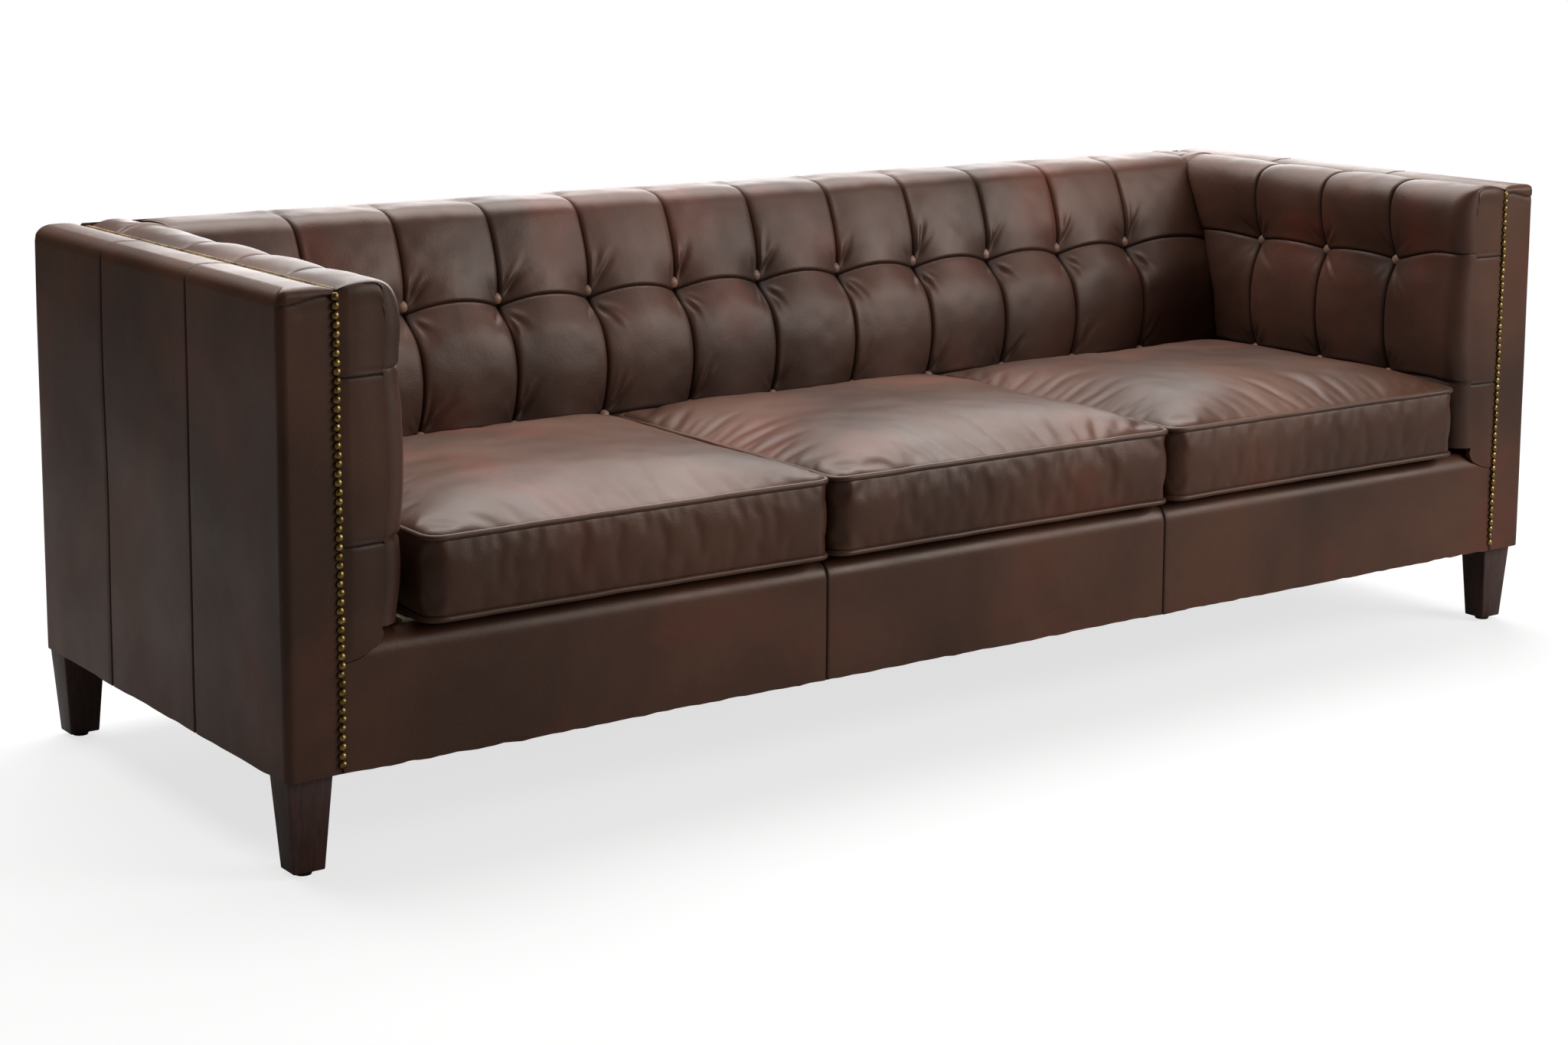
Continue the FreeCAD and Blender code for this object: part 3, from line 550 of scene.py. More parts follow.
def buildInsideArm(sign, node, seed):
    front, end = sofa["frontY"], insideArm["end"]
    wide, drop = insideArm["lip"]
    ends = (front - 12.0, end)
    stations = np.array([front + wide, *(y for y in padStations(insideArm, ends) if y > front + wide + 1)])

    def rowShift(s, k):
        rise = smoothStep(-s, 222, 345) * (insideArm["frontRowHeight"] - insideArm["rowHeights"][1])
        return rise if k else 0 * s

    across, d, z, nd, nz, paintedShade = tuftedRings(insideArm, stations, ends, seed, rowShift, openEnd=True)
    # the arm draws in where the inside back leans against it
    backFace = np.interp(z, *insideArm["backFace"])
    d = d - np.maximum(d - insideArm["besideBack"], 0) * smoothStep(across - backFace, -12, 10)
    rings, marks = [], []
    for angle in np.radians(np.linspace(90, 0, 15)):
        # the front edge turns over in a wide curve, but in a tight one along the top
        turn = 1 - math.cos(angle)
        dd = np.maximum(d[0] - np.abs(nd[0]) * wide * turn, sofa["nailLine"])
        zz = z[0] - np.maximum(nz[0], 0) * drop * turn ** 2.5
        rings.append(np.stack([dd, np.full_like(dd, front + wide * (1 - math.sin(angle))), zz], -1))
        # painted shade of the pleats carried round the turned front edge, fading out as it turns
        marks.append(paintedShade[0] * smoothStep(turn, 1.0, 0.4))
    edge = rings[0].copy()
    tuck = edge.copy()
    tuck[:, 1] = front + 7
    rings, marks = [tuck, *rings[:-1]], [marks[0], *marks[:-1]]
    for k in range(len(across)):
        rings.append(np.stack([d[k], across[k], z[k]], -1))
        marks.append(paintedShade[k])
    # the tail runs back under the end of the inside back, and a fold crosses its top
    for y in np.concatenate([np.linspace(264, 312, 33), np.linspace(318, sofa["armEndY"], 8)]):
        ring = np.stack([d[-1], np.full_like(d[-1], y), z[-1]], -1)
        on = ring[:, 2] > 700
        foldY = np.interp(ring[:, 0], *insideArm["tailFold"])
        gap = y - foldY
        swell = 2.5 * np.exp(-((gap + 24) / 20) ** 2) - 5.5 * np.exp(-np.abs(gap) / 2.6) - 1.5 * (gap > 0)
        swell += 0.8 * softNoise(ring[:, 0], np.full_like(foldY, y), 18, seed + 4) * smoothStep(gap, 0, 10)
        raised = ring[:, 2] + swell * smoothStep(ring[:, 2], 700, 708)
        ring[:, 2] = np.where(on, np.maximum(raised, insideArm["tailFloor"]), ring[:, 2])
        rings.append(ring)
        # painted shade along the fold across the tail's top
        marks.append(np.where(on, np.exp(-np.abs(gap) / 3), paintedShade[-1]))
    rings = np.array(rings)
    rings = np.stack([sign * (sofa["half"] - rings[..., 0]), rings[..., 1], rings[..., 2]], -1)
    back = np.array([[[sign * (sofa["half"] - v), ring[0, 1], h] for v, h in insideArm["behind"]] for ring in rings])
    shade = np.pad(np.array(marks), ((0, 0), (0, 3)))
    obj = ringBody(node.split("_")[0] + "InsideArm", np.concatenate([rings, back], 1), shade)
    dress(obj, [node], "brown_leather", smooth=70, hide=tuftHide)
    return edge


buildInsideBack()
leftEdge = buildInsideArm(-1, "left_tufted_arm", 23)
rightEdge = buildInsideArm(1, "right_tufted_arm", 37)
print("tufted pads built")


# Front faces of the arms, between the nails and the turn of the inside arm

armFront = {
    "foot": [(262.0, 77.0), (266.0, 98.0), (277.0, 122.0), (290.0, 131.0), (300.0, 134.0)],
    "seams": (402.0, 605.0),
    "puff": 2.4,
    "thickness": 7.0,
    "columns": 46,
    "bandSteps": (15, 20, 12),
    "turnZ": 690.0,
}


def lappedSeam(gap):
    # one edge laid over the other: a sharp line, a raised lip and a fainter row of stitches; the mark is painted
    # shade along the line and the stitches
    cut = 1.9 * np.exp(-np.abs(gap) / 1.3) + 0.7 * np.exp(-np.abs(gap - 6) / 1.2)
    lip = 0.9 * np.exp(-np.abs(gap - 2.6) / 3.0) * (gap > 0)
    mark = np.exp(-np.abs(gap) / 1.8) + 0.35 * np.exp(-np.abs(gap - 6) / 1.4)
    return lip - cut, mark


def seamRelief(place, seams):
    reliefs, lines = zip(*(lappedSeam(place - seam) for seam in seams))
    return sum(reliefs), sum(lines)


def buildArmFront(sign, side, edge):
    front = sofa["frontY"]
    turn = int(np.argmax(edge[:, 2] > armFront["turnZ"]))
    heights = np.concatenate([[h for h, _ in armFront["foot"][:-1]], edge[:turn, 2]])
    reach = np.concatenate([[d for _, d in armFront["foot"][:-1]], edge[:turn, 0]])
    levels = [armFront["foot"][0][0]]
    bands = [levels[0], *armFront["seams"], armFront["turnZ"]]
    for low, high, count in zip(bands, bands[1:], armFront["bandSteps"]):
        levels.extend((low + (high - low) * closeSteps(count)[1:]).tolist())
    z = np.array(levels)
    inner = np.interp(z, heights, reach)
    t = closeSteps(armFront["columns"] // 2, 1.4)
    depth = sofa["nailLine"] + (inner - sofa["nailLine"])[:, None] * t[None]
    height = np.repeat(z[:, None], len(t), 1)
    # the last rows run up to the pad's overhanging top edge
    brim = np.interp(-depth[-1], -edge[turn:, 0], edge[turn:, 2]) + 0.4
    rise = closeSteps(7)[1:, None]
    depth = np.concatenate([depth, np.repeat(depth[-1:], len(rise), 0)])
    height = np.concatenate([height, armFront["turnZ"] + rise * (brim - armFront["turnZ"])[None]])
    inner = np.concatenate([inner, np.full(len(rise), inner[-1])])
    fromNails, fromTurn = depth - sofa["nailLine"], inner[:, None] - depth
    spread = smoothStep(fromNails, -4, 16) * smoothStep(fromTurn, 0, 40)
    puff = armFront["puff"] * spread + 0.8 * softNoise(depth * sign + 300, height, 48, 5) * spread
    # painted shade beside the nails and along the seams, and a painted shadow under the pad's overhanging top edge
    mark = 0.8 * np.exp(-fromNails / 3.0)
    relief, line = seamRelief(height, armFront["seams"])
    puff, mark = puff + relief * smoothStep(fromNails, 0, 5), mark + line
    under = np.maximum(brim[None] - height, 0)
    puff -= 3.0 * np.exp(-under / 2.2)
    puff += 0.9 * np.exp(-((under - 12) / 7) ** 2)
    mark += np.exp(-under / 2.6)
    outer = np.stack([sign * (sofa["half"] - depth), front - puff, height], -1)
    inside = np.stack([sign * (sofa["half"] - depth), np.full_like(depth, front + armFront["thickness"]), height], -1)
    obj = sheetBody(side + "ArmFront", outer, inside, np.clip(mark, 0, 1))
    dress(obj, [side + "_arm_front_facing"], "brown_leather", smooth=60)


buildArmFront(-1, "left", leftEdge)
buildArmFront(1, "right", rightEdge)
print("arm fronts built")


# Outside covers: the walls, their rounded top edge and the flat strip inside it

outerCover = {
    "frontRadius": 12.0,
    "rearRadius": 28.0,
    "frontEdge": 8.0,
    "sideEdge": 20.0,
    "thickness": 7.5,
    "seams": (-116.0, 143.0),
    "backSeams": (-307.0, 307.0),
    "backSeed": 71,
    "jointX": 1028.0,
    "jointDip": 5.5,
    "wave": 1.3,
}


def edgeDistance(x, y):
    # how far a point lies inside the rounded outline, in plan
    hx, y0, y1 = sofa["half"], sofa["frontY"], sofa["backY"]
    r = np.where(y < 0, outerCover["frontRadius"], outerCover["rearRadius"])
    dx = np.abs(x) - (hx - r)
    dy = np.where(y < 0, (y0 + r) - y, y - (y1 - r))
    corner = r - np.hypot(np.maximum(dx, 0), np.maximum(dy, 0))
    return np.where((dx > 0) & (dy > 0), corner, np.minimum(r - dx, r - dy))


def armPlan():
    # outline of one arm's cover from the nails round to the back, with its outward normal
    hx, y0, y1 = sofa["half"], sofa["frontY"], sofa["backY"]
    points = []
    for d in np.linspace(72, outerCover["frontRadius"], 34):
        points.append((hx - d, y0, 0.0, -1.0))
    r = outerCover["frontRadius"]
    for a in np.radians(np.linspace(0, 90, 13))[1:]:
        points.append((hx - r + r * math.sin(a), y0 + r - r * math.cos(a), math.sin(a), -math.cos(a)))
    marks = [y0 + r, *outerCover["seams"], y1 - outerCover["rearRadius"]]
    for a, b in zip(marks, marks[1:]):
        for y in (a + (b - a) * closeSteps(22))[1:]:
            points.append((hx, y, 1.0, 0.0))
    r = outerCover["rearRadius"]
    for a in np.radians(np.linspace(0, 90, 15))[1:]:
        points.append((hx - r + r * math.cos(a), y1 - r + r * math.sin(a), math.cos(a), math.sin(a)))
    for d in np.linspace(r, 72, 14)[1:]:
        points.append((hx - d, y1, 0.0, 1.0))
    return np.array(points)


def wallPuff(along, height, hem, seed):
    # broad hills over a wall and small waves close to its hem
    hills = np.minimum(1.4 * softNoise(along, height, 190, seed + 1), 1.2) - 0.3
    return hills + 0.5 * softNoise(along, height * 0.35, 26, seed + 2) * np.exp(-(height - hem) / 60)


def hemLine(along, wave, seed):
    return (sofa["hemZ"] + 0.8 + wave * softNoise(along, 0 * along, 34, seed))[:, None]


def buildOuterArm(sign, side, seed):
    plan = armPlan()
    x, y, nx, ny = plan.T
    along = np.concatenate([[0], np.cumsum(np.hypot(np.diff(x), np.diff(y)))])
    sideEdge, frontEdge = outerCover["sideEdge"], outerCover["frontEdge"]
    r = (sideEdge - (sideEdge - frontEdge) * smoothStep(-ny, 0, 0.9))[:, None]
    wallTop = sofa["topZ"] - r
    hem = hemLine(along, outerCover["wave"], seed)
    levels = np.concatenate([np.linspace(0, 0.03, 4), np.linspace(0.05, 0.93, 34), np.linspace(0.94, 1, 22)])
    wallZ = hem + (wallTop - hem) * levels[None]
    wallAlong = along[:, None] + 0 * wallZ
    onSide = np.abs(nx) > 0.99
    relief, line = seamRelief(np.where(onSide, y, 1e4), outerCover["seams"])
    puff = wallPuff(wallAlong, wallZ, hem, seed) + relief[:, None]
    wall = np.stack([x[:, None] + nx[:, None] * puff, y[:, None] + ny[:, None] * puff, wallZ], -1)
    wallMark = line[:, None] + 0 * wallZ
    # a fold from the joint across the front corner, the top's leather lapped over the front's
    onFront = smoothStep(-y, 364, 371)[:, None]
    depth = (sofa["half"] - x)[:, None]
    above = wallZ - (704.5 - 8.0 * smoothStep(-depth, -58, -10))
    lap = 1.5 * smoothStep(above, -0.7, 0.7) - 2.0 * np.exp(-np.abs(above + 1.5) / 2.0)
    lap += 0.8 * softNoise(depth, wallZ, 16, seed + 5) * np.exp(-((above + 14) / 9) ** 2)
    wall[:, :, 1] += ny[:, None] * onFront * lap
    # painted shadow under the lapped fold and painted shade along the strip's edge by the nails
    wallMark += onFront * np.exp(-np.abs(above + 1.2) / 1.8) + 0.8 * onFront * np.exp(-np.abs(depth - 72) / 3)
    # top, from the wall's upper edge in to the joint
    q = np.interp(along, [0, along[-1]], [sofa["frontY"], sofa["backY"]])
    qy = np.clip(y * 0.25 + q * 0.75, sofa["frontY"], sofa["backY"])
    t = np.concatenate([np.linspace(0, 0.34, 14), np.linspace(0.34, 1, 20)[1:]])[None]
    topX = x[:, None] + (outerCover["jointX"] - x[:, None]) * t
    topY = y[:, None] + (qy - y)[:, None] * t
    gap = np.clip(edgeDistance(topX, topY), 0, r)
    height = wallTop + np.sqrt(np.maximum(r * r - (r - gap) ** 2, 0))
    cut = np.interp(topY, y[onSide], relief[onSide])
    height += 1.8 * np.sin(math.pi * t) * smoothStep(gap, 0, r) + cut * smoothStep(gap, 0, r)
    height -= outerCover["jointDip"] * np.exp(-(topX - outerCover["jointX"]) / 11) * smoothStep(gap, 0, 8)
    top = np.stack([topX, topY, height], -1)
    # painted shade along the seams and in the dip at the joint
    topMark = np.interp(topY, y[onSide], line[onSide]) + 0.8 * np.exp(-(topX - outerCover["jointX"]) / 3)
    top[:, 0] = wall[:, -1]
    outer = np.concatenate([wall, top[:, 1:]], 1)
    mark = np.clip(np.concatenate([wallMark, topMark[:, 1:]], 1), 0, 1)
    inner = outer.copy()
    inner[:, :, 0] -= nx[:, None] * outerCover["thickness"]
    inner[:, :, 1] -= ny[:, None] * outerCover["thickness"]
    first = wall.shape[1] - 1
    inner[:, first:, 2] = np.minimum(inner[:, first:, 2], sofa["woodTopZ"] + 0.3)
    inner[:, first:, 0] = np.minimum(outer[:, first:, 0], sofa["half"] - 8)
    inner[:, first:, 1] = np.clip(outer[:, first:, 1], sofa["frontY"] + 8, sofa["backY"] - 8)
    flip = np.array([sign, 1, 1])
    obj = sheetBody(side + "OuterArm", outer * flip, inner * flip, mark)
    dress(obj, [side + "_outer_arm_cover"], "brown_leather", smooth=60)


def buildOuterBack():
    joint, r = outerCover["jointX"], outerCover["sideEdge"]
    x = stepsThrough([-joint, *outerCover["backSeams"], joint], 26)
    hem = hemLine(x, outerCover["wave"], outerCover["backSeed"])
    wallTop = sofa["topZ"] - r
    levels = np.concatenate([np.linspace(0, 0.03, 4), np.linspace(0.05, 1, 38)])
    wallZ = hem + (wallTop - hem) * levels[None]
    wallX = x[:, None] + 0 * wallZ
    relief, line = seamRelief(x, outerCover["backSeams"])
    puff = wallPuff(wallX, wallZ, hem, outerCover["backSeed"]) + relief[:, None]
    wall = np.stack([wallX, sofa["backY"] + puff, wallZ], -1)
    angles = np.radians(np.linspace(0, 90, 12))[None, 1:]
    rollY = sofa["backY"] - r + (r + puff[:, -1:]) * np.cos(angles)
    rollZ = wallTop + (r + 0.5 * relief[:, None]) * np.sin(angles)
    flatY = (sofa["backY"] - 22.0) + 0 * x[:, None]
    outer = np.concatenate([wall, np.stack([x[:, None] + 0 * rollY, rollY, rollZ], -1),
                            np.stack([x[:, None], flatY, rollZ[:, -1:]], -1)], 1)
    inner = outer.copy()
    inner[:, :, 1] = np.minimum(outer[:, :, 1], sofa["backY"] - 8)
    inner[:, :, 2] = np.minimum(outer[:, :, 2], sofa["woodTopZ"] + 0.3)
    # painted shade along the seams
    obj = sheetBody("outerBack", outer, inner, np.repeat(np.clip(line, 0, 1)[:, None], outer.shape[1], 1))
    dress(obj, ["outer_back_cover"], "brown_leather", smooth=60)


buildOuterArm(-1, "left", 61)
buildOuterArm(1, "right", 66)
buildOuterBack()
print("outside covers built")


# Front rail cover: flat face with a wavy stapled hem, rolled back over the top

railCover = {
    "roll": 27.0,
    "rollTop": 290.0,
    "inY": -338.3,
    "seatX": 926.1,
    "jointX": 1026.0,
    "seams": (-307.0, 307.0),
    "wave": 1.6,
    "thickness": 7.5,
}


def buildRailCover():
    joint, seatX = railCover["jointX"], railCover["seatX"]
    x = stepsThrough([-joint, -seatX, *railCover["seams"], seatX, joint], 28)
    waves = 0.6 * softNoise(x, 0 * x, 30, 81) + 0.5 * softNoise(x, 0 * x, 13, 82)
    hem = sofa["hemZ"] + 0.6 + railCover["wave"] * waves
    foot = armFront["foot"]
    curve = np.interp(sofa["half"] - np.abs(x), [d for _, d in foot], [h for h, _ in foot]) - 0.8
    r, top, front = railCover["roll"], railCover["rollTop"], sofa["frontY"]
    cap = np.where(np.abs(x) <= seatX, 1e3, np.minimum(curve, 300.0))
    # heights up the face, then the roll as an angle, cut off where the arm's front covers it
    startZ = np.minimum(top - r, cap)
    levels = np.concatenate([np.linspace(0, 0.05, 4), np.linspace(0.09, 1, 24)])
    faceZ = hem[:, None] + (startZ - hem)[:, None] * levels[None]
    full = np.where(cap > top, 90.0, np.degrees(np.arcsin(np.clip((cap - (top - r)) / r, 0, 1))))
    angles = np.radians(full)[:, None] * np.linspace(0, 1, 15)[None, 1:]
    rollY = front + r * (1 - np.cos(angles))
    rollZ = startZ[:, None] + r * np.sin(angles)
    backY = np.where(np.abs(x) <= seatX, railCover["inY"], rollY[:, -1] + 0.5)
    t = np.linspace(0, 1, 5)[None, 1:]
    flatY = rollY[:, -1:] + (backY[:, None] - rollY[:, -1:]) * t
    flatZ = rollZ[:, -1:] + 0 * flatY
    coverY = np.concatenate([np.full_like(faceZ, front), rollY, flatY], 1)
    coverZ = np.concatenate([faceZ, rollZ, flatZ], 1)
    coverX = np.repeat(x[:, None], coverY.shape[1], 1)
    slope = np.zeros_like(coverY)
    slope[:, faceZ.shape[1]:faceZ.shape[1] + 14] = angles
    slope[:, faceZ.shape[1] + 14:] = angles[:, -1:]
    puff = 1.3 * softNoise(coverX, coverZ, 150, 83)
    puff += 0.5 * softNoise(coverX, coverZ * 0.4, 30, 84) * np.exp(-(coverZ - 126) / 50)
    # painted shade at the joint with the arm fronts and along the seams
    mark = 0.6 * np.exp(-(joint - np.abs(coverX)) / 3)
    relief, line = seamRelief(coverX, railCover["seams"])
    puff, mark = np.minimum(puff + relief, 1.8), mark + line
    outer = np.stack([coverX, coverY - np.cos(slope) * puff, coverZ + np.sin(slope) * puff], -1)
    thick = railCover["thickness"]
    inner = np.stack([coverX, coverY + np.cos(slope) * thick, coverZ - np.sin(slope) * thick], -1)
    obj = sheetBody("frontRailCover", outer, inner, np.clip(mark, 0, 1))
    dress(obj, ["front_rail_cover"], "brown_leather", smooth=60)


buildRailCover()
print("rail cover built")


# Loose seat cushions with boxed sides and piped edges

seatCushion = {
    "pitch": 613.7,
    "width": 612.7,
    "frontY": -392.0,
    "backY": 165.1,
    "lowSeam": 299.6,
    "highSeam": 401.0,
    "cornerRadius": 28.0,
    "drawIn": 4.0,
    "crown": 25.0,
    "backFall": 0.25,
    "cell": 7.5,
    "pipingRadius": 4.0,
    "pressure": 4.0,
    "slack": {"left": -0.010, "middle": -0.016, "right": -0.010},
    "mostMove": 0.009,
    "frames": 22,
}


def cushionPlan(a, b, inset):
    # a, b from -1 to 1 across the panel, with rounded corners and drawn-in sides
    hx = seatCushion["width"] / 2 - inset
    hy = (seatCushion["backY"] - seatCushion["frontY"]) / 2 - inset
    r = seatCushion["cornerRadius"] - min(inset, 10)
    x, y = a * hx, b * hy
    p, q = np.abs(x) - (hx - r), np.abs(y) - (hy - r)
    block = (p > 0) & (q > 0)
    big, small = np.maximum(p, q), np.minimum(p, q)
    theta = math.pi / 4 * np.where(big > 0, small / np.maximum(big, 1e-9), 0)
    along, across = big * np.cos(theta), big * np.sin(theta)
    newP = np.where(p >= q, along, across)
    newQ = np.where(p >= q, across, along)
    x = np.where(block, np.sign(x) * (hx - r + newP), x)
    y = np.where(block, np.sign(y) * (hy - r + newQ), y)
    pull = seatCushion["drawIn"]
    x = x - np.sign(a) * pull * (1 - b ** 2) * np.abs(a) ** 5
    y = y - np.sign(b) * pull * (1 - a ** 2) * np.abs(b) ** 5
    return x, y


def cushionMesh(name, cx, seed):
    # closed panel-and-boxing mesh; returns the object and the ring of seam points
    cy = (seatCushion["frontY"] + seatCushion["backY"]) / 2
    na, nb = round(seatCushion["width"] / seatCushion["cell"]), round(557 / seatCushion["cell"])
    a, b = np.meshgrid(np.linspace(-1, 1, na + 1), np.linspace(-1, 1, nb + 1), indexing="ij")
    x, y = cushionPlan(a, b, 5.0)
    reach = seatCushion["width"] / 2
    gapX, gapY = (1 - np.abs(a)) * reach + 0.01, (1 - np.abs(b)) * 278 + 0.01
    gap = (gapX ** -4 + gapY ** -4) ** -0.25
    lift = 1 - (1 - np.clip(gap / reach / 0.8, 0, 1)) ** 3.6
    # the crown falls away a little toward the back
    lift = lift * (1 - seatCushion["backFall"] * smoothStep(b, 0.0, 1.0))
    topZ = seatCushion["highSeam"] + 4.5 * smoothStep(gap, 0, 6) + seatCushion["crown"] * lift
    hills = 1.6 * softNoise(x + cx, y, 90, seed) + 0.9 * softNoise(x + cx, y, 34, seed + 1)
    topZ += hills * smoothStep(gap, 8, 60)
    lowZ = seatCushion["lowSeam"] - 2.5 * smoothStep(gap, 0, 6)
    top = np.stack([x + cx, y + cy, topZ], -1)
    bottom = np.stack([x + cx, y + cy, lowZ], -1)
    rim = [(i, 0) for i in range(na)] + [(na, j) for j in range(nb)]
    rim += [(i, nb) for i in range(na, 0, -1)] + [(0, j) for j in range(nb, 0, -1)]
    m = (na + 1) * (nb + 1)
    points = [top.reshape(-1, 3), bottom.reshape(-1, 3)]
    faces = gridFaces(na + 1, nb + 1) + gridFaces(na + 1, nb + 1, m)
    rimA = np.array([a[i, j] for i, j in rim])
    rimB = np.array([b[i, j] for i, j in rim])
    levels = np.linspace(0, 1, 15)[1:-1]
    rows = [[i * (nb + 1) + j for i, j in rim]]
    start = 2 * m
    for level in levels[::-1]:
        inset = 5.0 - 3.4 * math.sin(math.pi * level) ** 0.5
        bx, by = cushionPlan(rimA, rimB, inset)
        height = seatCushion["lowSeam"] + (seatCushion["highSeam"] - seatCushion["lowSeam"]) * level
        points.append(np.stack([bx + cx, by + cy, np.full_like(bx, height)], -1))
        rows.append(list(range(start, start + len(rim))))
        start += len(rim)
    rows.append([m + i * (nb + 1) + j for i, j in rim])
    count = len(rim)
    for upper, lower in zip(rows, rows[1:]):
        for k in range(count):
            n = (k + 1) % count
            faces.append([upper[k], upper[n], lower[n], lower[k]])
    obj = addMesh(name, np.concatenate(points), faces)
    return obj, rimA, rimB


def swellCushion(obj, slack):
    # pressure swells the leather between its pinned seams; the underside rests flat
    mesh = obj.data
    before = np.empty(len(mesh.vertices) * 3)
    mesh.vertices.foreach_get("co", before)
    before = before.reshape(-1, 3)
    pins = obj.vertex_groups.new(name="seams")
    low, high = seatCushion["lowSeam"] * 0.001, seatCushion["highSeam"] * 0.001
    edge = np.isclose(before[:, 2], high, atol=2e-5) | (before[:, 2] < low + 1e-4)
    pins.add(np.nonzero(edge)[0].tolist(), 1.0, "REPLACE")
    cloth = obj.modifiers.new("swell", "CLOTH")
    settings = cloth.settings
    settings.quality = 6
    settings.mass = 0.4
    settings.tension_stiffness = 25
    settings.compression_stiffness = 12
    settings.shear_stiffness = 6
    settings.bending_stiffness = 1.2
    settings.air_damping = 3
    settings.use_pressure = True
    settings.uniform_pressure_force = seatCushion["pressure"]
    settings.shrink_min = slack
    settings.vertex_group_mass = "seams"
    settings.pin_stiffness = 1.0
    settings.effector_weights.gravity = 0
    cloth.collision_settings.use_collision = False
    cloth.point_cache.frame_start, cloth.point_cache.frame_end = 1, seatCushion["frames"]
    for step in range(1, seatCushion["frames"] + 1):
        scene.frame_set(step)
    graph = bpy.context.evaluated_depsgraph_get()
    swollen = obj.evaluated_get(graph).to_mesh()
    after = np.empty(len(mesh.vertices) * 3)
    swollen.vertices.foreach_get("co", after)
    after = after.reshape(-1, 3)
    obj.evaluated_get(graph).to_mesh_clear()
    obj.modifiers.remove(cloth)
    scene.frame_set(1)
    move = after - before
    far = np.linalg.norm(move, axis=1)
    print("   ", obj.name, "moved up to", round(float(far.max()) * 1000, 1), "mm")
    cap = seatCushion["mostMove"]
    move *= (cap * np.tanh(far / cap) / np.maximum(far, 1e-9))[:, None]
    mesh.vertices.foreach_set("co", (before + move).reshape(-1))
    mesh.update()


def tubeAround(name, centre, radius, sides=12):
    # closed cord along a closed line of points
    n = len(centre)
    ahead = np.roll(centre, -1, 0) - np.roll(centre, 1, 0)
    ahead /= np.linalg.norm(ahead, axis=1)[:, None]
    out = np.stack([ahead[:, 1], -ahead[:, 0], 0 * ahead[:, 0]], -1)
    out /= np.linalg.norm(out, axis=1)[:, None]
    up = np.array([0.0, 0.0, 1.0])
    angles = np.linspace(0, 2 * math.pi, sides, endpoint=False)
    points = np.array([centre + radius * (math.cos(t) * out + math.sin(t) * up) for t in angles])
    faces = []
    for i in range(sides):
        for k in range(n):
            n1, i1 = (k + 1) % n, (i + 1) % sides
            faces.append([i * n + k, i * n + n1, i1 * n + n1, i1 * n + k])
    return addMesh(name, points.reshape(-1, 3), faces)


def buildCushion(side, index, seed):
    cx = index * seatCushion["pitch"]
    cy = (seatCushion["frontY"] + seatCushion["backY"]) / 2
    body = side + "_cushion"
    obj, rimA, rimB = cushionMesh(side + "Cushion", cx, seed)
    swellCushion(obj, seatCushion["slack"][side])
    smoother = obj.modifiers.new("smoother", "SUBSURF")
    smoother.levels = smoother.render_levels = 1
    selectOnly(obj)
    bpy.ops.object.modifier_apply(modifier="smoother")
    dress(obj, [body + "_cover"], "brown_leather", body)
    x, y = cushionPlan(rimA, rimB, 4.0)
    cords = []
    for k, level in enumerate((seatCushion["lowSeam"], seatCushion["highSeam"])):
        wobble = 0.5 * softNoise(x + y, x - y, 60, seed + 5 + k)
        line = np.stack([x + cx, y + cy, level + wobble], -1)
        cords.append(tubeAround(side + "Piping%d" % k, line, seatCushion["pipingRadius"]))
    selectOnly(*cords)
    bpy.ops.object.join()
    cords[0].name = side + "Piping"
    dress(cords[0], [body + "_piping"], "piping_leather", body)


for sideName, index, seed in (("left", -1, 101), ("middle", 0, 131), ("right", 1, 161)):
    buildCushion(sideName, index, seed)
print("seat cushions built")


# Buttons and nails

button = {
    "diameter": 17.5,
    "flat": 0.62,
    "lean": 14.5,
    "stand": 12.5,  # from the tack's foot out to the button's middle
    "backRows": ((240.1, 579.0), (193.1, 397.0)),
    "armRows": ((135.1, 588.0), (143.1, 402.0)),
}


def modelButton():
    bpy.ops.object.select_all(action="DESELECT")
    bpy.ops.mesh.primitive_uv_sphere_add(segments=28, ring_count=14, radius=button["diameter"] / 2000)
    obj = bpy.context.active_object
    bpy.ops.object.mode_set(mode="EDIT")
    bpy.ops.transform.resize(value=(1, 1, button["flat"]))
    bpy.ops.mesh.select_all(action="DESELECT")
    bpy.ops.object.mode_set(mode="OBJECT")
    for v in obj.data.vertices:
        if v.co.z < 0:
            v.co.z *= 0.55
        angle = math.atan2(v.co.y, v.co.x)
        rim = math.hypot(v.co.x, v.co.y) / (button["diameter"] / 2000)
        v.co *= 1 - 0.03 * max(rim - 0.6, 0) * math.cos(9 * angle)  # gathers under the rim
    bpy.ops.object.shade_smooth()
    return obj


def placeCopies(name, model, places):
    # each place: matrix in millimetre space
    points, faces = [], []
    base = np.array([v.co for v in model.data.vertices]) * 1000
    shapes = [list(p.vertices) for p in model.data.polygons]
    for matrix in places:
        start = len(points) * len(base)
        points.append(base @ np.array(matrix.to_3x3()).T + np.array(matrix.translation))
        faces += [[v + start for v in shape] for shape in shapes]
    return addMesh(name, np.concatenate(points), faces)


def faceAlong(centre, normal, spin=0.0, size=1.0):
    turn = Vector((0, 0, 1)).rotation_difference(Vector(normal)).to_matrix()
    turn = turn @ Matrix.Rotation(spin, 3, "Z") * size
    return Matrix.Translation(Vector(centre)) @ turn.to_4x4()


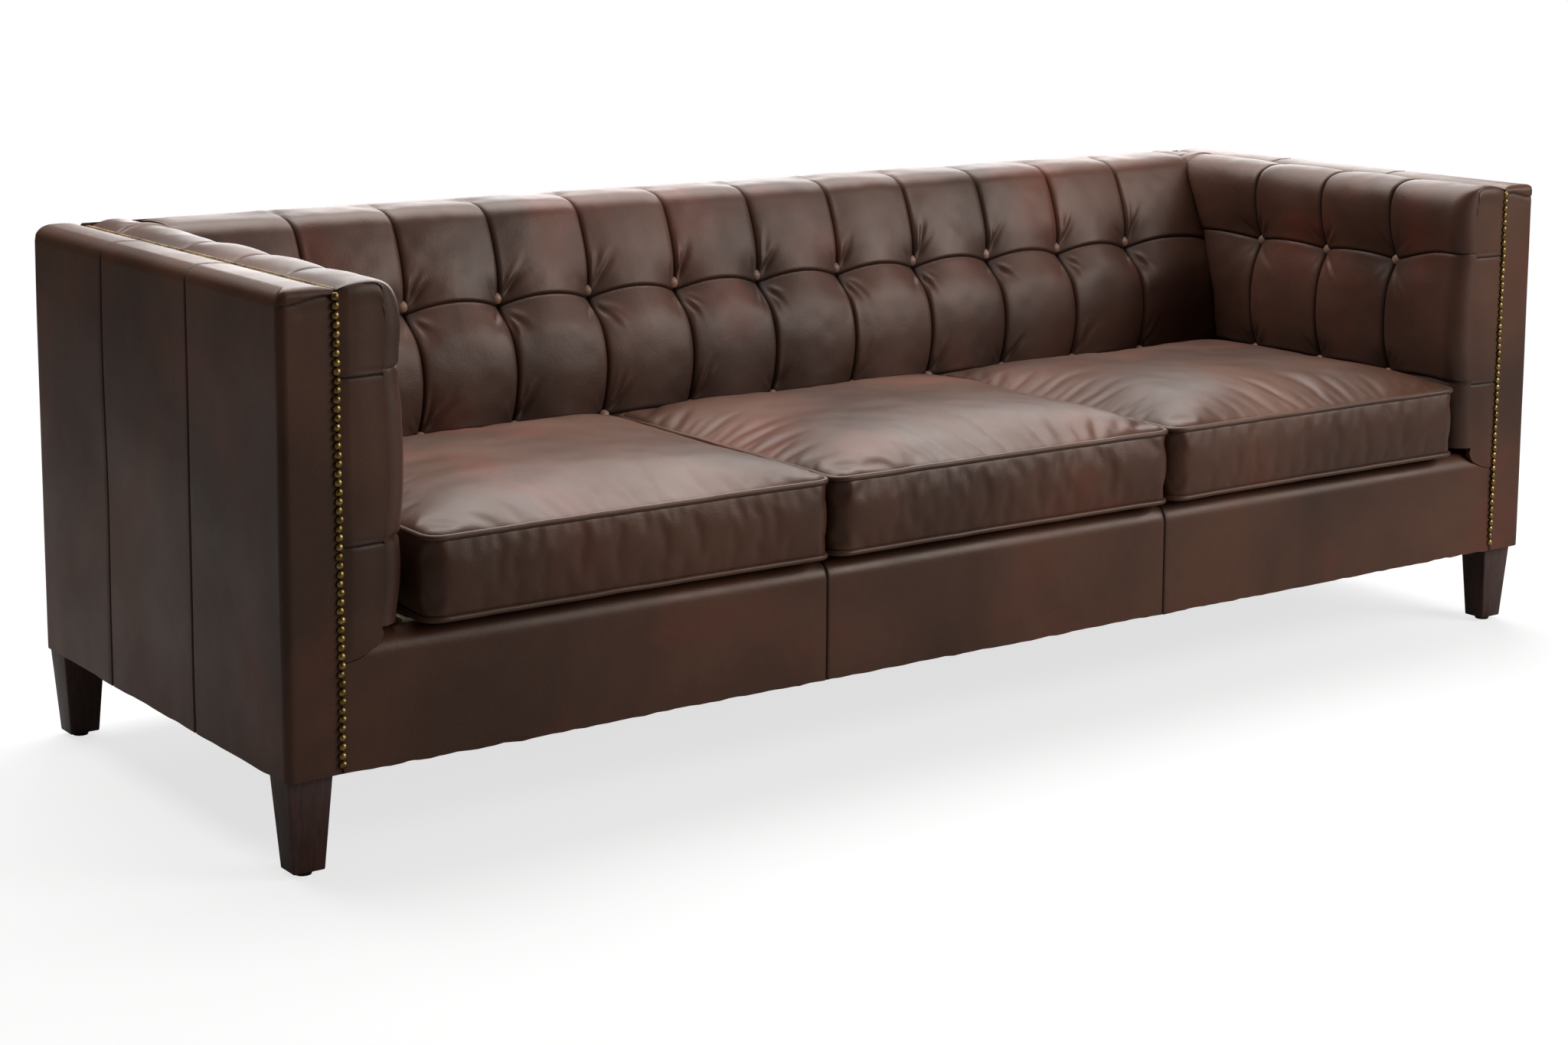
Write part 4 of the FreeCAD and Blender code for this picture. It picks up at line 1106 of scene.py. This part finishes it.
buttonModel = modelButton()
lean = math.radians(button["lean"])
upFront = np.array([0.0, -math.cos(lean), math.sin(lean)])
rng = np.random.RandomState(7)
backPlaces = []
for x in insideBack["pleats"]:
    for y, z in button["backRows"]:
        base = np.array([x, y, z]) + upFront * button["stand"]
        backPlaces.append(faceAlong(base, upFront + rng.normal(0, 0.06, 3), rng.uniform(0, 6), 1.0))
backButtons = placeCopies("backButtons", buttonModel, backPlaces)
dress(backButtons, ["back_buttons"], "button_leather")
for sign, side in ((-1, "left"), (1, "right")):
    places = []
    for y in insideArm["pleats"]:
        for d, z in button["armRows"]:
            base = (sign * (sofa["half"] - d - button["stand"]), y, z)
            places.append(faceAlong(base, np.array([-sign, 0, 0]) + rng.normal(0, 0.06, 3), rng.uniform(0, 6)))
    arm = placeCopies(side + "ArmButtons", buttonModel, places)
    dress(arm, [side + "_arm_buttons"], "button_leather")
bpy.data.objects.remove(buttonModel)

nails = {"count": 52, "first": 139.0, "pitch": 11.05, "diameter": 10.6, "height": 3.4}


def modelNail():
    bpy.ops.object.select_all(action="DESELECT")
    bpy.ops.mesh.primitive_uv_sphere_add(segments=12, ring_count=8, radius=nails["diameter"] / 2000)
    obj = bpy.context.active_object
    bpy.ops.object.mode_set(mode="EDIT")
    bpy.ops.mesh.select_all(action="SELECT")
    bpy.ops.mesh.bisect(plane_co=(0, 0, 0), plane_no=(0, 0, 1), clear_inner=True, use_fill=True)
    bpy.ops.mesh.select_all(action="SELECT")
    bpy.ops.transform.resize(value=(1, 1, nails["height"] / (nails["diameter"] / 2)))
    bpy.ops.object.mode_set(mode="OBJECT")
    return obj


nailModel = modelNail()
for sign, side in ((-1, "left"), (1, "right")):
    places = []
    for k in range(nails["count"]):
        x, rise = rng.normal(0, 0.45), rng.normal(0, 0.25)
        spot = (sign * sofa["nailX"] + x, sofa["frontY"] - 0.6, nails["first"] + k * nails["pitch"] + rise)
        facing = np.array([0, -1, 0]) + rng.normal(0, 0.09, 3)
        places.append(faceAlong(spot, facing, rng.uniform(0, 6), rng.uniform(0.94, 1.05)))
    row = placeCopies(side + "NailRow", nailModel, places)
    dress(row, [side + "_nail_row"], "antique_brass")
bpy.data.objects.remove(nailModel)
print("buttons and nails placed")


# Tapered legs

leg = {"top": (60.0, 50.0), "foot": (42.0, 36.0), "height": 119.5, "glide": 6.0, "bevel": 2.0}


def buildLeg(name, x, y):
    bpy.ops.object.select_all(action="DESELECT")
    middle = (leg["glide"] + leg["height"] / 2) * 0.001
    bpy.ops.mesh.primitive_cube_add(size=1, location=(x * 0.001, y * 0.001, middle))
    obj = bpy.context.active_object
    obj.name = name
    bpy.ops.object.mode_set(mode="EDIT")
    bpy.ops.mesh.select_all(action="SELECT")
    bpy.ops.transform.resize(value=(leg["top"][0] * 0.001, leg["top"][1] * 0.001, leg["height"] * 0.001))
    bpy.ops.mesh.select_all(action="DESELECT")
    shape = bmesh.from_edit_mesh(obj.data)
    for face in shape.faces:
        face.select = face.normal.z < -0.9
    bmesh.update_edit_mesh(obj.data)
    bpy.ops.transform.resize(value=(leg["foot"][0] / leg["top"][0], leg["foot"][1] / leg["top"][1], 1))
    bpy.ops.mesh.select_all(action="SELECT")
    bpy.ops.mesh.bevel(offset=leg["bevel"] * 0.001, segments=3, affect="EDGES")
    bpy.ops.object.mode_set(mode="OBJECT")
    bpy.ops.object.transform_apply(location=True, rotation=True, scale=True)
    return obj


for name, sx, sy in (("front_left", -1, -1), ("front_right", 1, -1), ("rear_left", -1, 1), ("rear_right", 1, 1)):
    x = sx * (sofa["half"] - 6.5 - leg["top"][0] / 2)
    y = (sofa["frontY"] + 13 + leg["top"][1] / 2) if sy < 0 else (sofa["backY"] - 13 - leg["top"][1] / 2)
    made = buildLeg("leg" + name.title().replace("_", ""), x, y)
    dress(made, ["leg_" + name], "leg_wood", smooth=40)
print("legs built")


# Zigzag stitching over the joint along each arm's top

stitch = {"pitch": 4.6, "wide": 2.2, "thread": 0.55, "stripWide": 4.0, "z": 710.0}


def buildStitching(sign, side):
    y = np.arange(sofa["frontY"] + 6, sofa["backY"] - 30, stitch["pitch"] / 2)
    zig = np.where(np.arange(len(y)) % 2 == 0, -1, 1) * stitch["wide"]
    drift = 1.0 * softNoise(y, 0 * y, 60, 91)
    centre = np.stack([sign * (sofa["nailX"] + drift) + zig, y, np.full_like(y, stitch["z"] + 1.2)], -1)
    centre[:, 2] += 0.5 * np.abs(np.sin(np.arange(len(y))))
    t = stitch["thread"]
    ring = np.array([(math.cos(q), math.sin(q)) for q in np.linspace(0, 2 * math.pi, 6, endpoint=False)]) * t
    rows = np.array([[(c[0] + p[0], c[1], c[2] + p[1]) for p in ring] for c in centre])
    thread = ringBody(side + "Thread", rows)
    x0 = sign * sofa["nailX"]
    ys = np.linspace(sofa["frontY"] + 10, sofa["backY"] - 28, 160)
    half = stitch["stripWide"] / 2
    across = np.array([-1, -0.6, 0, 0.6, 1.0])
    edge = half + 0.7 * softNoise(ys, 0 * ys, 9, 92)
    stripX = x0 + sign * softNoise(ys, 0 * ys, 60, 91)[:, None] + across[None] * edge[:, None]
    stripZ = stitch["z"] + 0.9 * (1 - across[None] ** 2) + 0 * stripX
    outer = np.stack([stripX, ys[:, None] + 0 * stripX, stripZ], -1)
    inner = outer.copy()
    inner[:, :, 2] = stitch["z"] - 3.5
    strip = sheetBody(side + "SeamStrip", outer, inner)
    dress(strip, [side + "_arm_top_seam_strip"], "tan_edge_leather")
    dress(thread, [], "tan_edge_leather")


buildStitching(-1, "left")
buildStitching(1, "right")
print("stitching laid")


# What is left of the frame keeps its shape and takes a finish of its own
for node, obj in frame["nodes"].items():
    slotName = next((s["material_slot"] for s in frame["record"]["subparts"] if s["node"] == node), None)
    material = slotMaterials.get(slotName)
    if material:
        obj.data.materials.clear()
        obj.data.materials.append(material)
print("frame finished")


# Studio: pale floor, soft lamps and the camera

studio = {
    "cameraPlace": (-2.5128, -3.3035, 1.1753),
    "yaw": 36.02,
    "pitch": -8.998,
    "roll": 0.402,
    "lens": 64.88,
    "shiftY": -0.12,
}


def buildFloor():
    bpy.ops.object.select_all(action="DESELECT")
    bpy.ops.mesh.primitive_circle_add(vertices=96, radius=40, fill_type="NGON", location=(0, 0, 0))
    floor = bpy.context.active_object
    floor.name = "floor"
    material, nodes, links = newMaterial("pale floor")
    place = addNode(nodes, "TexCoord").outputs["Object"]
    far = addNode(nodes, "VectorMath", operation="LENGTH")
    links.new(place, far.inputs[0])
    fade = addNode(nodes, "MapRange")
    for key, value in (("From Min", 1.8), ("From Max", 4.5), ("To Min", 0.72), ("To Max", 1.0)):
        fade.inputs[key].default_value = value
    links.new(far.outputs["Value"], fade.inputs["Value"])
    rays = addNode(nodes, "LightPath")
    seen = addNode(nodes, "Math", operation="MULTIPLY")
    links.new(rays.outputs["Is Camera Ray"], seen.inputs[0])
    links.new(fade.outputs["Result"], seen.inputs[1])
    plain = addNode(nodes, "BsdfDiffuse")
    links.new(mixColour(nodes, links, rays.outputs["Is Camera Ray"], (0.3, 0.3, 0.3, 1), (0.9, 0.9, 0.9, 1)),
              plain.inputs["Color"])
    glow = addNode(nodes, "Emission", Color=(1, 1, 1, 1), Strength=1.0)
    mix = nodes.new("ShaderNodeMixShader")
    links.new(seen.outputs[0], mix.inputs[0])
    links.new(plain.outputs[0], mix.inputs[1])
    links.new(glow.outputs[0], mix.inputs[2])
    finishMaterial(nodes, links, mix)
    floor.data.materials.append(material)


def buildWorld():
    world = bpy.data.worlds.new("studio")
    scene.world = world
    world.use_nodes = True
    nodes, links = world.node_tree.nodes, world.node_tree.links
    nodes.clear()
    rays = addNode(nodes, "LightPath")
    seen = addNode(nodes, "Math", operation="MAXIMUM")
    links.new(rays.outputs["Is Camera Ray"], seen.inputs[0])
    links.new(rays.outputs["Is Transmission Ray"], seen.inputs[1])
    dim = addNode(nodes, "Background", Color=(1, 0.86, 0.74, 1), Strength=0.09)
    white = addNode(nodes, "Background", Color=(1, 1, 1, 1), Strength=1.0)
    glossy = addNode(nodes, "Background", Color=(1, 0.8, 0.62, 1), Strength=0.05)
    shine = nodes.new("ShaderNodeMixShader")
    links.new(rays.outputs["Is Glossy Ray"], shine.inputs[0])
    links.new(dim.outputs[0], shine.inputs[1])
    links.new(glossy.outputs[0], shine.inputs[2])
    mix = nodes.new("ShaderNodeMixShader")
    links.new(seen.outputs[0], mix.inputs[0])
    links.new(shine.outputs[0], mix.inputs[1])
    links.new(white.outputs[0], mix.inputs[2])
    links.new(mix.outputs[0], addNode(nodes, "OutputWorld").inputs["Surface"])


def addLamp(name, place, target, size, power):
    light = bpy.data.lights.new(name, "AREA")
    light.shape = "RECTANGLE"
    light.size, light.size_y = size
    light.energy = power
    lamp = bpy.data.objects.new(name, light)
    scene.collection.objects.link(lamp)
    lamp.location = place
    lamp.visible_camera = False
    lamp.rotation_euler = (Vector(target) - Vector(place)).to_track_quat("-Z", "Y").to_euler()
    return lamp


def addCamera():
    data = bpy.data.cameras.new("camera")
    camera = bpy.data.objects.new("camera", data)
    scene.collection.objects.link(camera)
    yaw, pitch, roll = (math.radians(studio[k]) for k in ("yaw", "pitch", "roll"))
    ahead = Vector((math.sin(yaw) * math.cos(pitch), math.cos(yaw) * math.cos(pitch), math.sin(pitch)))
    right = ahead.cross(Vector((0, 0, 1))).normalized()
    up = right.cross(ahead)
    x = right * math.cos(roll) + up * math.sin(roll)
    y = up * math.cos(roll) - right * math.sin(roll)
    turn = Matrix((x, y, -ahead)).transposed()
    camera.matrix_world = Matrix.Translation(Vector(studio["cameraPlace"])) @ turn.to_4x4()
    data.lens = studio["lens"]
    data.sensor_width = 36
    data.shift_y = studio["shiftY"]
    data.clip_end = 200
    scene.camera = camera


buildFloor()
buildWorld()
addLamp("backdrop", (3.2, 4.4, 1.9), (0.6, 0, 0.7), (4.6, 3.0), 200)
addLamp("over", (0.2, 1.0, 3.1), (0, 0.1, 0.4), (5.0, 2.4), 215)
addLamp("key", (2.8, -3.2, 2.2), (0.2, 0, 0.4), (2.6, 2.0), 125)
addLamp("fill", (-3.6, -1.8, 1.6), (-0.4, 0, 0.4), (1.6, 1.6), 3)
addCamera()
scene.view_settings.view_transform = "Standard"
print("studio ready")
